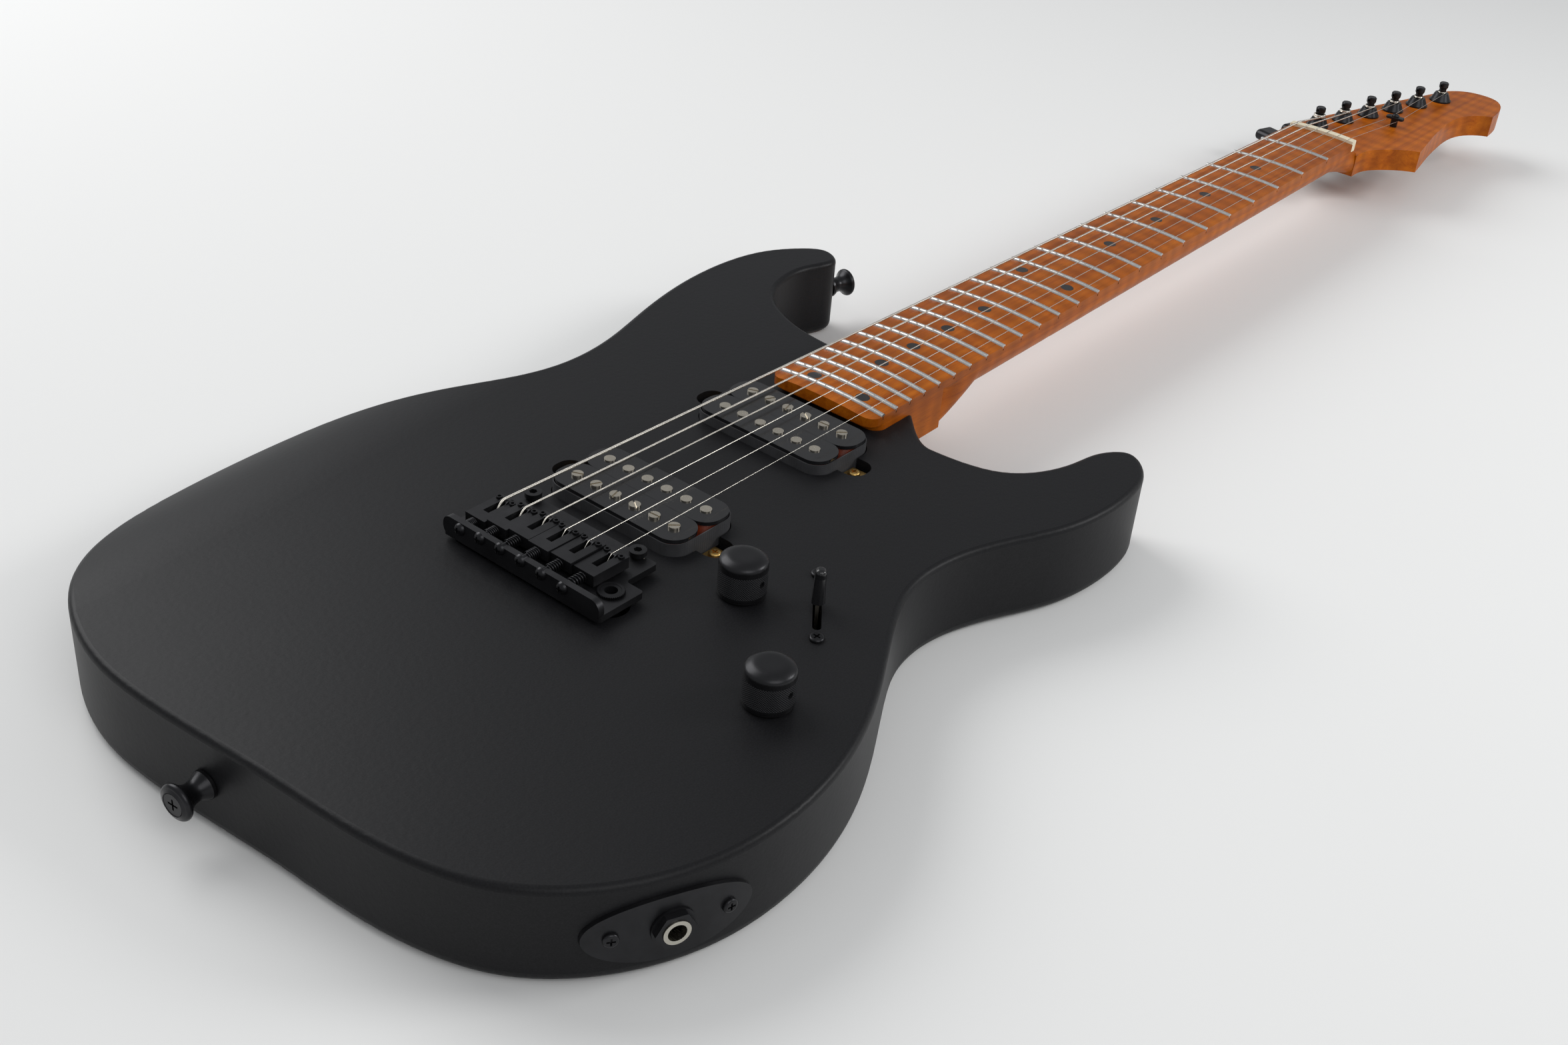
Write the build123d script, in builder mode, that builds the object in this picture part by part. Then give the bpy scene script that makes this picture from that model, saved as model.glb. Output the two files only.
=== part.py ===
from build123d import *
import os
from math import atan2, cos, degrees, radians, sin, sqrt, tan

# Electric guitar lying on its back, in millimetres.
# X runs along the strings from the saddle line (x = 0) to the head, Y to the bass side, Z up.
# The body's flat back lies on z = 0.

# ---------------------------------------------------------------- driving dimensions
scale_length = 648.0
fret_count = 24
string_count = 6

body_thickness = 40.0
body_width = 308.0
back_round = 5.0
top_round = 2.5
top_wall = 6.0              # wood left over the control cavity
cover_thickness = 2.0
cover_lip = 8.0             # ledge that a back cover rests on

crown_rise = 8.8            # crown of the fretboard over the body's top
nut_width = 42.5
last_fret_width = 57.4
board_radius = 254.0
board_thickness = 5.5
board_overhang = 8.0        # board past the last fret
neck_setback = 4.5          # neck under the board's end
nut_length = 5.0
nut_rise = 1.7
heel_depth = 25.4           # crown to the heel's underside
neck_depth_nut = 20.5
neck_depth_12 = 22.0

fret_crown_width = 2.6
fret_crown_height = 1.1
fret_tang_width = 0.6
fret_tang_depth = 1.6
fret_slot_depth = 3.5       # flat-bottomed, deeper than the tang at the board's edges
dot_radius = 3.2
side_dot_radius = 1.0
dot_depth = 1.5

head_drop = 11.0            # crown to the head's face
head_thickness = 13.5
head_round = 1.8
tuner_pitch = 24.5
tuner_slope = -15.9         # row of tuners, degrees from the strings
first_tuner_x = 42.0        # from the nut's front face
first_tuner_y = 20.2
post_radius = 3.0
post_waist_radius = 2.3
post_top = 12.5             # over the head's face
bushing_radius = 7.0
sleeve_radius = 4.9         # bushing's part inside the head
bushing_height = 5.5
housing_length = 17.0
housing_width = 15.0
housing_depth = 11.5
button_length = 20.0
button_width = 15.0
button_thickness = 7.0
button_reach = 22.0         # tuner post to the button's inner end

bridge_string_pitch = 10.8
nut_string_pitch = 7.0
string_rise = 4.3           # strings over the crown at the saddles
gauges = (1.17, 0.91, 0.66, 0.43, 0.33, 0.25)
saddle_setbacks = (4.0, 3.0, 2.0, 2.5, 1.5, 0.5)

plate_gap = 2.0             # bridge plate floats over the top
plate_thickness = 2.8
plate_front = 12.0
plate_rear = -28.5
plate_half_width = 36.5
wing_half_width = 45.5
wing_front = -5.0
wall_thickness = 2.8
wall_height = 8.8
pivot_x = 10.0
stud_spread = 56.0
stud_radius = 2.4
stud_head_radius = 3.5
insert_radius = 5.0
insert_length = 18.0
saddle_length = 18.5
saddle_width = 10.4
saddle_height = 4.8
saddle_front = 1.3          # saddle's front past its string's break
saddle_crest_radius = 2.6
saddle_crest_setback = 2.8  # saddle's front to the middle of its crest
saddle_crest_rise = 0.7
intonation_radius = 1.5
block_length = 12.0
block_width = 64.0
block_height = 35.0
block_rear = -19.0
arm_x = -14.0
arm_y = -37.5
arm_bore_radius = 2.55
arm_socket_radius = 3.9
arm_socket_length = 18.0

spring_cavity_depth = 17.0
spring_cavity_width = 58.0
spring_cavity_rear = -34.0
spring_cavity_front = 104.0
spring_radius = 3.6
spring_wire = 1.0
spring_spacing = 15.0
claw_setback = 12.0

pickup_length = 69.0
bobbin_width = 18.2
bobbin_thickness = 1.6
bobbin_corner = 8.0
coil_height = 8.0
pole_pitch_bridge = 10.4
pole_pitch_neck = 9.9
pole_radius = 2.4
pickup_cavity_depth = 20.0
ear_spread = 79.0
bridge_pickup_x = 41.4
bridge_pickup_rise = 6.9
neck_pickup_gap = 29.5      # neck's end to the neck pickup's centre
neck_pickup_rise = 5.9

volume_at = (25.5, -66.5)
tone_at = (-17.5, -115.5)
knob_radius = 9.4
knob_height = 16.5
knob_gap = 0.8
pot_radius = 12.0
pot_height = 9.0
shaft_radius = 3.0
pot_bushing_radius = 3.5
switch_at = (39.5, -91.5)
switch_angle = 38.0
switch_screw_spread = 41.3
switch_slot_length = 30.0
switch_slot_width = 3.4
lever_width = 6.0
lever_thickness = 1.3
lever_pivot_depth = 15.0

jack_at = (-101.5, -149.5)
jack_plate_length = 58.0
jack_plate_width = 26.0
jack_plate_thickness = 1.6
jack_screw_spread = 40.0
jack_bore_radius = 3.25
jack_sleeve_radius = 4.7
strap_button_length = 14.0
strap_head_radius = 7.0

rod_radius = 2.5            # truss rod
rod_groove = 6.0
tree_from_nut = 83.0        # string tree
tree_y = -13.6
tree_rise = 5.1
tree_thickness = 1.6
tree_grip = 7.0             # tree's screw in the head
strand_gap = 0.35           # string below the middle of the tree's flat underside

running = 0.05              # radial clearance of a shaft that turns
loose = 0.15                # clearance of a piece dropped in its place
screw_gap = 0.1             # clearance of a screw in its hole

# ---------------------------------------------------------------- worked-out places
top = body_thickness
crown = top + crown_rise
last_fret_x = scale_length * 2 ** (-fret_count / 12)
board_end = last_fret_x - board_overhang
neck_end = board_end + neck_setback
board_bottom = crown - board_thickness
heel_bottom = crown - heel_depth
head_face = crown - head_drop
head_back = head_face - head_thickness
nut_back = scale_length + nut_length
neck_pickup_x = neck_end - neck_pickup_gap
plate_bottom = top + plate_gap
plate_top = plate_bottom + plate_thickness
pivot_z = plate_bottom + plate_thickness / 2
bobbin_offset = bobbin_width / 2 + 0.05
pickup_width = 2 * bobbin_offset + bobbin_width
tape_thickness = 0.5
spring_z = spring_cavity_depth / 2
cavity_top = top - top_wall
rod_start = neck_end + 8
rod_end = scale_length - 25
tree_at = (scale_length + tree_from_nut, tree_y)

# The body's outline as if the neck ended at x = 158.5 and the body were 308 wide.
outline_neck_end = 158.5
outline_width = 308.0
outline_points = (
    (166.5, -53), (168, -67), (174, -84), (187, -95), (204, -100.8), (220, -104.8), (228.5, -114),
    (222, -124.5), (205, -131.4), (183, -132.6), (156, -128), (127, -116), (106, -109.3), (88, -107.6),
    (71, -110.2), (52, -118.5), (30, -131), (4, -144.5), (-25, -154.3), (-56, -158), (-83, -155.3),
    (-108, -146), (-128, -132), (-143, -113.5), (-152, -90), (-156.4, -64), (-158.8, -27), (-161.6, 5),
    (-163.5, 35), (-162.5, 58), (-157, 80), (-145, 103), (-125, 123.5), (-98, 138.5), (-64, 147.5),
    (-28, 150.3), (4, 147), (34, 136.5), (60, 122.5), (82, 112.5), (106, 108), (134, 110.5), (168, 120),
    (205, 128.6), (238, 131), (264, 127), (283, 116.5), (291.5, 104), (286, 94.5), (268, 97.2),
    (250, 97.5), (233, 91), (220, 76), (212, 55), (209.5, 33), (206.5, 10), (198, -12), (184, -29),
    (171, -42.5),
)

# The head's outline from the nut, x from the nut's front face and y from the middle of the strings.
head_treble = ((27, -22.2), (38, -28.5), (46.5, -36.5), (52.5, -45.5))
head_hollow = ((68, -42.8), (88, -39.3), (108, -36.8), (126, -35.6), (142, -38), (152, -44), (157.5, -51.5))
head_tip = ((184, -46.5), (193.5, -39), (196, -28.5), (192.5, -17), (182, -8.5))

tuner_dir = Vector(cos(radians(tuner_slope)), sin(radians(tuner_slope)), 0)
tuner_out = Vector(-tuner_dir.Y, tuner_dir.X, 0)
head_edge = 11.0            # tuner posts to the head's bass edge


def body_point(x, y):
    return (x * neck_end / outline_neck_end, y * body_width / outline_width)


def fret_x(number):
    return scale_length * 2 ** (-number / 12)


def half_width(x):
    grow = (last_fret_width - nut_width) / (scale_length - last_fret_x)
    return nut_width / 2 + grow * (scale_length - x) / 2


def board_z(y):
    return crown - board_radius + sqrt(board_radius**2 - y**2)


def string_y(number, pitch):
    return pitch * ((string_count - 1) / 2 - number)


def saddle_x(number):
    return -saddle_setbacks[number]


def string_z(number):
    return string_rise + board_z(string_y(number, bridge_string_pitch))


def tuner_at(number):
    return Vector(scale_length + first_tuner_x, first_tuner_y, 0) + tuner_dir * tuner_pitch * number


def turned(number, z):
    place = tuner_at(number)
    return Plane(origin=(place.X, place.Y, z), x_dir=tuner_dir, z_dir=(0, 0, 1))


def finish(builder, name):
    builder.part.label = name
    export_step(builder.part, f"parts/{name}.step")


def plane_to(x, y, z, angle):
    """Sketch plane whose normal lies flat and points at the given angle from +X."""
    way = Vector(cos(radians(angle)), sin(radians(angle)), 0)
    return Plane(origin=(x, y, z), x_dir=Vector(-way.Y, way.X, 0), z_dir=way)


def outline_face():
    with BuildSketch() as sketch:
        with BuildLine():
            Spline(*[body_point(x, y) for x, y in outline_points], periodic=True)
        make_face()
    return sketch.sketch


def side_normal(face, x, y):
    """Point of the outline nearest to (x, y) and the angle of its outward normal."""
    edge = face.edges()[0]
    near = edge.closest_points(Vertex(x, y, 0))[0]
    along = edge.tangent_at(edge.param_at_point(near))
    normal = Vector(along.Y, -along.X, 0)
    if face.is_inside(near + normal * 2):
        normal = -normal
    return near, degrees(atan2(normal.Y, normal.X))


os.makedirs("parts", exist_ok=True)
body_face = outline_face()
jack_near, jack_angle = side_normal(body_face, *jack_at)
tail_near, tail_angle = side_normal(body_face, *body_point(-161.5, 2))
horn_near, horn_angle = side_normal(body_face, *body_point(291, 102))
mid_z = body_thickness / 2
jack_plane = plane_to(jack_near.X, jack_near.Y, mid_z, jack_angle)
tail_plane = plane_to(tail_near.X, tail_near.Y, mid_z, tail_angle)
horn_plane = plane_to(horn_near.X, horn_near.Y, mid_z, horn_angle)
jack_screw_planes = []
for reach in (-jack_screw_spread / 2, jack_screw_spread / 2):
    spot = jack_near + jack_plane.x_dir * reach
    near, angle = side_normal(body_face, spot.X, spot.Y)
    jack_screw_planes.append(plane_to(near.X, near.Y, mid_z, angle))

# ---------------------------------------------------------------- body
switch_dir = Vector(cos(radians(switch_angle)), sin(radians(switch_angle)), 0)
switch_mid = Vector(*switch_at, 0)
switch_screws_at = [switch_mid + switch_dir * switch_screw_spread / 2 * s for s in (-1, 1)]
knobs_at = (volume_at, tone_at)
contour_radius = 115.0      # forearm contour's roundness
contour_angle = 5.0
contour_start = (-185.0, 85.0)
pot_room = pot_radius + 5.0
switch_room = 9.0
neck_screw_radius = 2.4
neck_screw_depth = 15.0
ferrule_radius = 6.5
ferrule_depth = 6.0
neck_screws_at = [(neck_end + x, y) for x, y in ((11, -17), (11, 18), (28.5, -9), (38, 16))]
wood_screw_radius = 1.5
wood_screw_length = 12.0
strap_screw_radius = 2.0
strap_screw_length = 24.0
claw_screw_radius = 2.0
claw_screw_length = 30.0
claw_head_radius = 2.8
claw_x = spring_cavity_front - claw_setback
claw_screws_y = (-18.0, 18.0)
spring_cover = (spring_cavity_rear - cover_lip, spring_cavity_front + cover_lip)
spring_cover_length = spring_cover[1] - spring_cover[0]
spring_cover_mid = (spring_cover[0] + spring_cover[1]) / 2
spring_cover_width = spring_cavity_width + 2 * cover_lip
spring_cover_screws = [
    (spring_cover_mid + sx * (spring_cover_length / 2 - cover_lip / 2), sy * (spring_cavity_width / 2 - 4))
    for sx in (-1, 1)
    for sy in (-1, 0, 1)
]
cover_ring = cover_lip / 2
control_cover_screws = [
    (at[0] + (room + cover_ring) * cos(radians(turn)), at[1] + (room + cover_ring) * sin(radians(turn)))
    for at, room, turn in (
        (volume_at, pot_room, 100),
        (volume_at, pot_room, 20),
        (tone_at, pot_room, 170),
        (tone_at, pot_room, 255),
        ((switch_screws_at[1].X, switch_screws_at[1].Y), switch_room, -30),
    )
]


def control_hull(grow):
    """Plan of the control cavity: a hull round both potentiometers and the switch."""
    with BuildSketch() as sketch:
        with Locations(*knobs_at):
            Circle(pot_room + grow)
        with Locations(*switch_screws_at):
            Circle(switch_room + grow)
        make_hull()
    return sketch.sketch


def neck_plan(grow):
    """Plan of the neck's heel, from its rounded end to past the body."""
    far = neck_end + 110
    near_half = half_width(neck_end) + grow
    far_half = half_width(far) + grow
    start = neck_end - grow
    with BuildSketch() as sketch:
        with BuildLine():
            Polyline((start, -near_half), (far, -far_half), (far, far_half), (start, near_half), close=True)
        make_face()
        fillet(sketch.vertices().group_by(Axis.X)[0], 6)
    return sketch.sketch


def pickup_well(x):
    """Plan of the rounded well for one pickup, with two ears for its mounting screws."""
    with BuildSketch() as sketch:
        with Locations((x, 0)):
            RectangleRounded(pickup_width + 2, pickup_length + 2.5, bobbin_corner + 1)
            RectangleRounded(14, ear_spread + 13, 6)
    return sketch.sketch


with BuildPart() as body:
    add(body_face)
    extrude(amount=body_thickness)
    fillet(body.edges().group_by(Axis.Z)[0], back_round)
    lean = radians(contour_angle)
    contour_plane = Plane(
        origin=(*contour_start, top), x_dir=(-sin(lean), cos(lean), 0), z_dir=(cos(lean), sin(lean), 0)
    )
    with BuildSketch(contour_plane):
        with BuildLine():
            arc = CenterArc((0, -contour_radius), contour_radius, 90, -52)
            Polyline(arc @ 1, ((arc @ 1).X, 5), (0, 5), arc @ 0)
        make_face()
    extrude(amount=290, mode=Mode.SUBTRACT)
    side = body.faces().filter_by(GeomType.PLANE, reverse=True).sort_by(SortBy.AREA)[-1]
    fillet([edge for edge in side.edges() if edge.center().Z > mid_z], top_round)

    # neck pocket, pickup wells and the openings for the bridge
    with BuildSketch(Plane.XY.offset(heel_bottom)):
        add(neck_plan(loose))
    extrude(amount=body_thickness, mode=Mode.SUBTRACT)
    with BuildSketch(Plane.XY.offset(top - pickup_cavity_depth)):
        add(pickup_well(bridge_pickup_x))
        add(pickup_well(neck_pickup_x))
    extrude(amount=pickup_cavity_depth + 1, mode=Mode.SUBTRACT)
    with BuildSketch(Plane.XY.offset(-1)):
        with Locations(((spring_cavity_rear + spring_cavity_front) / 2, 0)):
            RectangleRounded(spring_cavity_front - spring_cavity_rear, spring_cavity_width, 8)
    extrude(amount=spring_cavity_depth + 1, mode=Mode.SUBTRACT)
    with BuildSketch(Plane.XY.offset(-1)):
        with Locations((spring_cover_mid, 0)):
            RectangleRounded(spring_cover_length + 2 * loose, spring_cover_width + 2 * loose, 10)
    extrude(amount=cover_thickness + 1, mode=Mode.SUBTRACT)
    block_slot = (block_rear - 8, block_rear + block_length + 6)
    with BuildSketch():
        with Locations(((block_slot[0] + block_slot[1]) / 2, 0)):
            RectangleRounded(block_slot[1] - block_slot[0], block_width + 4, 4)
        with Locations((arm_x - 1.5, arm_y)):
            Circle(arm_socket_radius + 4.5)
    extrude(amount=body_thickness + 1, mode=Mode.SUBTRACT)
    with Locations(*[(pivot_x, side * stud_spread / 2, top) for side in (-1, 1)]):
        Hole(insert_radius + running, depth=insert_length + loose)

    # control cavity with the holes that open into it
    with BuildSketch(Plane.XY.offset(-1)):
        add(control_hull(0))
    extrude(amount=cavity_top + 1, mode=Mode.SUBTRACT)
    with BuildSketch(Plane.XY.offset(-1)):
        add(control_hull(cover_lip + loose))
    extrude(amount=cover_thickness + 1, mode=Mode.SUBTRACT)
    with Locations(*[(x, y, top) for x, y in knobs_at]):
        Hole(pot_bushing_radius + screw_gap)
    with BuildSketch(Plane.XY.offset(cavity_top - 1)):
        with Locations(Location(switch_mid, (0, 0, switch_angle))):
            SlotOverall(switch_slot_length, switch_slot_width)
    extrude(amount=top_wall + 2, mode=Mode.SUBTRACT)
    with Locations(*[(at.X, at.Y, top) for at in switch_screws_at]):
        Hole(wood_screw_radius + screw_gap, depth=top_wall + 1)

    # side jack with its wire channel, and the channels to the pickups
    with BuildSketch(jack_plane):
        Circle(11)
    extrude(amount=-36, mode=Mode.SUBTRACT)
    with BuildSketch(jack_plane):
        Circle(11)
    extrude(amount=6, mode=Mode.SUBTRACT)
    jack_end = jack_near + jack_plane.z_dir * -30 + Vector(0, 0, mid_z)
    wire_way = Vector(tone_at[0], tone_at[1], mid_z) - jack_end
    with BuildSketch(Plane(origin=jack_end, z_dir=wire_way)):
        Circle(4)
    extrude(amount=wire_way.length - pot_radius, mode=Mode.SUBTRACT)
    pickup_wire_z = top - pickup_cavity_depth + 4
    for start_x in (bridge_pickup_x, neck_pickup_x):
        wire_start = Vector(start_x, -pickup_length / 2, pickup_wire_z)
        wire_end = Vector(volume_at[0], volume_at[1], pickup_wire_z)
        with BuildSketch(Plane(origin=wire_start, z_dir=wire_end - wire_start)):
            Circle(3)
        extrude(amount=(wire_end - wire_start).length, mode=Mode.SUBTRACT)

    # screw holes
    with Locations(*[Location((x, y, 0), (180, 0, 0)) for x, y in neck_screws_at]):
        Hole(ferrule_radius + screw_gap, depth=ferrule_depth)
        Hole(neck_screw_radius + screw_gap, depth=body_thickness)
    with Locations(*[Location((x, y, cover_thickness), (180, 0, 0)) for x, y in spring_cover_screws]):
        Hole(wood_screw_radius + screw_gap, depth=wood_screw_length)
    with Locations(*[Location((x, y, cover_thickness), (180, 0, 0)) for x, y in control_cover_screws]):
        Hole(wood_screw_radius + screw_gap, depth=wood_screw_length)
    for plane in (tail_plane, horn_plane):
        with BuildSketch(plane):
            Circle(strap_screw_radius + screw_gap)
        extrude(amount=-strap_screw_length, mode=Mode.SUBTRACT)
    for y in claw_screws_y:
        with BuildSketch(Plane.YZ.offset(spring_cavity_front)):
            with Locations((y, spring_z)):
                Circle(claw_screw_radius + screw_gap)
        extrude(amount=claw_screw_length, mode=Mode.SUBTRACT)
    for x in (bridge_pickup_x, neck_pickup_x):
        with Locations(*[(x, side * ear_spread / 2, top - pickup_cavity_depth) for side in (-1, 1)]):
            Hole(wood_screw_radius + screw_gap, depth=10)
    for plane in jack_screw_planes:
        with BuildSketch(plane):
            Circle(wood_screw_radius + screw_gap)
        extrude(amount=-wood_screw_length - 1, mode=Mode.SUBTRACT)
finish(body, "body")

# ---------------------------------------------------------------- back covers
flat_head_radius = 2.9
flat_head_height = (flat_head_radius - wood_screw_radius) / tan(radians(41))
string_slots_x = block_rear + block_length / 2


def upside(places):
    """Places on the back, facing down."""
    return [Location((x, y, 0), (180, 0, 0)) for x, y in places]


with BuildPart() as spring_cover_plate:
    with BuildSketch():
        with Locations((spring_cover_mid, 0)):
            RectangleRounded(spring_cover_length, spring_cover_width, 10)
        with Locations(*[(string_slots_x, string_y(n, bridge_string_pitch)) for n in range(string_count)]):
            SlotOverall(14, 7, mode=Mode.SUBTRACT)
    extrude(amount=cover_thickness)
    with Locations(*upside(spring_cover_screws)):
        CounterSinkHole(wood_screw_radius + screw_gap, flat_head_radius + screw_gap)
finish(spring_cover_plate, "spring_cover")

with BuildPart() as control_cover:
    with BuildSketch():
        add(control_hull(cover_lip))
    extrude(amount=cover_thickness)
    with Locations(*upside(control_cover_screws)):
        CounterSinkHole(wood_screw_radius + screw_gap, flat_head_radius + screw_gap)
finish(control_cover, "control_cover")


def cross(half, width, level, depth=3):
    """Cross recess cut from a level upward."""
    with BuildSketch(Plane.XY.offset(level)) as sketch:
        Rectangle(2 * half, width)
        Rectangle(width, 2 * half)
    return extrude(sketch.sketch, amount=depth)


def screw(radius, length, head_radius, head_height, recess=0.9):
    """Pan-head screw: head above the plane it sits on, shank below, cross recess on top."""
    with BuildPart() as piece:
        with Locations((0, 0, -length / 2)):
            Cylinder(radius, length)
        with BuildSketch():
            Circle(head_radius)
        extrude(amount=head_height)
        fillet(piece.edges().group_by(Axis.Z)[-1], head_height * 0.6)
        add(cross(head_radius * 0.55, 0.7, head_height - recess), mode=Mode.SUBTRACT)
    return piece.part


def flat_screw(radius, length, head_radius, head_height):
    """Countersunk screw whose head is level with the plane it is driven from."""
    with BuildPart() as piece:
        with Locations((0, 0, -length / 2 - head_height / 2)):
            Cylinder(radius, length - head_height)
        with Locations((0, 0, -head_height / 2 - 0.05)):
            Cone(radius, head_radius, head_height)
        add(cross(head_radius * 0.6, 0.7, -1.2), mode=Mode.SUBTRACT)
    return piece.part


def put(piece, places):
    """Copies of one piece, each at one of the places."""
    return [piece.moved(place) for place in places]


with BuildPart() as cover_screws:
    cover_screw = flat_screw(
        wood_screw_radius, cover_thickness + wood_screw_length - 1, flat_head_radius, flat_head_height
    )
    add(put(cover_screw, upside(spring_cover_screws + control_cover_screws)))
finish(cover_screws, "cover_screws")

# ---------------------------------------------------------------- neck and head
shaft_top = board_bottom
depth_slope = (neck_depth_12 - neck_depth_nut) / (scale_length / 2)


def neck_depth(x):
    return neck_depth_nut + depth_slope * (scale_length - x)


def neck_section(x, depth, squareness, half):
    """Closed section across the neck: flat top at the board, back a rounded or squarer curve."""
    drop = depth - board_thickness
    with BuildSketch(Plane(origin=(x, 0, shaft_top), x_dir=(0, 1, 0), z_dir=(1, 0, 0))) as sketch:
        with BuildLine():
            curve = []
            for step in range(13):
                turn = radians(180 + 15 * step)
                c, s = cos(turn), sin(turn)
                y = half * abs(c) ** (2 / squareness) * (1 if c > 0 else -1)
                curve.append((y, -drop * abs(s) ** (2 / squareness)))
            Spline(*curve)
            Line(curve[-1], curve[0])
        make_face()
    return sketch.sketch


heel_end = neck_end + 50.0  # square heel to here, then the round neck
heel_round = 30.0
face_slope = 15.0           # length of the curve from the nut down to the head's face
head_start = scale_length + 14.0
head_depth = head_drop + head_thickness


def head_outline():
    """Head from above; the bass edge runs beside the tuners."""
    first = tuner_at(0) - tuner_dir * 10 + tuner_out * head_edge
    last = tuner_at(string_count - 1) + tuner_dir * 9 + tuner_out * head_edge
    half = nut_width / 2
    near = [(scale_length + x, y) for x, y in head_treble]
    hollow = [near[-1]] + [(scale_length + x, y) for x, y in head_hollow]
    tip = [hollow[-1]] + [(scale_length + x, y) for x, y in head_tip] + [(last.X, last.Y)]
    with BuildSketch() as sketch:
        with BuildLine():
            Line((scale_length - 4, half), (scale_length - 4, -half))
            Line((scale_length - 4, -half), (scale_length + nut_length, -half))
            Spline((scale_length + nut_length, -half), *near, tangents=[(1, 0), (0.45, -0.9)])
            Spline(*hollow, tangents=[(1, 0.16), (0.35, -0.94)])
            Spline(*tip, tangents=[(1, 0.1), (-tuner_dir.X, -tuner_dir.Y)])
            Line((last.X, last.Y), (first.X, first.Y))
            flare = [(first.X, first.Y), (scale_length + 22, half + 7), (scale_length + nut_length, half)]
            Spline(*flare, tangents=[(-tuner_dir.X, -tuner_dir.Y), (-1, 0)])
            Line(flare[-1], (scale_length - 4, half))
        make_face()
    return sketch.sketch


with BuildPart() as neck:
    # squared heel, bolted in the body's pocket
    with BuildSketch(Plane.XY.offset(heel_bottom)):
        add(neck_plan(0))
        with Locations((heel_end + 100, 0)):
            Rectangle(200, 200, mode=Mode.SUBTRACT)
    extrude(amount=shaft_top - heel_bottom)
    # round shaft, blended from the heel and into the head
    round_start = heel_end + heel_round
    shaft_end = scale_length - 30
    at_round = (round_start, neck_depth(round_start), 2.2, half_width(round_start))
    at_nut = (shaft_end, neck_depth(shaft_end), 2.2, half_width(shaft_end))
    heel_blend = [
        (heel_end, heel_depth, 12, half_width(heel_end)),
        (heel_end + 14, heel_depth - 1.2, 5, half_width(heel_end + 14)),
        at_round,
    ]
    head_blend = [
        at_nut,
        (scale_length - 8, neck_depth_nut + 0.8, 2.5, nut_width / 2),
        (head_start, head_depth - 0.01, 9, nut_width / 2),
    ]
    for ruled, sections in ((False, heel_blend), (True, [at_round, at_nut]), (False, head_blend)):
        for section in sections:
            add(neck_section(*section))
        loft(ruled=ruled)
    with BuildSketch(Plane.XZ):
        with BuildLine():
            slope = RadiusArc((nut_back, shaft_top), (nut_back + face_slope, head_face), -1.6 * face_slope)
            Polyline(slope @ 1, (nut_back + face_slope, crown + 5), (nut_back, crown + 5), slope @ 0)
        make_face()
    extrude(amount=60, both=True, mode=Mode.SUBTRACT)
    # flat head
    with BuildSketch(Plane.XY.offset(head_back)):
        add(head_outline())
        with Locations((scale_length, 0)):
            Rectangle(24, 100, mode=Mode.SUBTRACT)
    extrude(amount=head_thickness)
    # truss-rod groove, bolt holes, tuner holes and the string tree's screw hole
    with Locations(((rod_start + rod_end) / 2, 0, shaft_top - rod_groove / 2 + 0.5)):
        Box(rod_end - rod_start + 2 * loose, rod_groove, rod_groove + 1, mode=Mode.SUBTRACT)
    with Locations(*[Location((x, y, heel_bottom), (180, 0, 0)) for x, y in neck_screws_at]):
        Hole(neck_screw_radius + screw_gap, depth=neck_screw_depth)
    with Locations(*[tuner_at(number) + Vector(0, 0, head_face) for number in range(string_count)]):
        Hole(sleeve_radius + screw_gap)
    with Locations((*tree_at, head_face)):
        Hole(wood_screw_radius + screw_gap, depth=tree_grip + 1)
finish(neck, "neck")

# ---------------------------------------------------------------- fretboard, frets, dots, nut
def fret_length(number):
    return 2 * half_width(fret_x(number))


def crowned(start, end, bottom, height):
    """Slab across the board whose top is the board's cylinder raised by height."""
    with BuildPart() as piece:
        with BuildSketch(Plane.YZ.offset(start)):
            with BuildLine():
                side = last_fret_width / 2 + 4
                arc = ThreePointArc(
                    (-side, board_z(side) + height), (0, crown + height), (side, board_z(side) + height)
                )
                Polyline(arc @ 1, (side, bottom), (-side, bottom), arc @ 0)
            make_face()
        extrude(amount=end - start)
    return piece.part


dot_spots = [(number, 0) for number in (3, 5, 7, 9, 15, 17, 19, 21)]
dot_spots += [(number, side * 13.5) for number in (12, 24) for side in (-1, 1)]
dots_at = [((fret_x(number) + fret_x(number - 1)) / 2, y) for number, y in dot_spots]
side_dot_z = board_bottom + 2.2

with BuildPart() as fretboard:
    add(crowned(board_end, scale_length, board_bottom, 0))
    with BuildSketch(Plane.XY.offset(board_bottom)):
        with BuildLine():
            near, far = half_width(board_end), nut_width / 2
            Polyline((board_end, -near), (scale_length, -far), (scale_length, far), (board_end, near), close=True)
        make_face()
        fillet(vertices().group_by(Axis.X)[0], 6)
    extrude(amount=board_thickness + 1, mode=Mode.INTERSECT)
    for number in range(1, fret_count + 1):
        with Locations((fret_x(number), 0, crown)):
            Box(fret_tang_width + 2 * running, 80, 2 * fret_slot_depth, mode=Mode.SUBTRACT)
    with Locations(*[(x, y, crown) for x, y in dots_at]):
        Cylinder(dot_radius + running, 2 * dot_depth, mode=Mode.SUBTRACT)
    for x, y in dots_at:
        with Locations(Location((x, half_width(x), side_dot_z), (90, 0, 0))):
            Cylinder(side_dot_radius + running, 4, mode=Mode.SUBTRACT)
finish(fretboard, "fretboard")

with BuildPart() as fret_dots:
    for x, y in dots_at:
        with Locations((x, y, crown)):
            Cylinder(dot_radius, 2 * dot_depth - running)
    add(crowned(board_end, scale_length, board_bottom, 0), mode=Mode.INTERSECT)
    for x, y in dots_at:
        with Locations(Location((x, half_width(x) - 1, side_dot_z), (90, 0, 0))):
            Cylinder(side_dot_radius, 2 - 0.1)
finish(fret_dots, "fret_dots")


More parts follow.
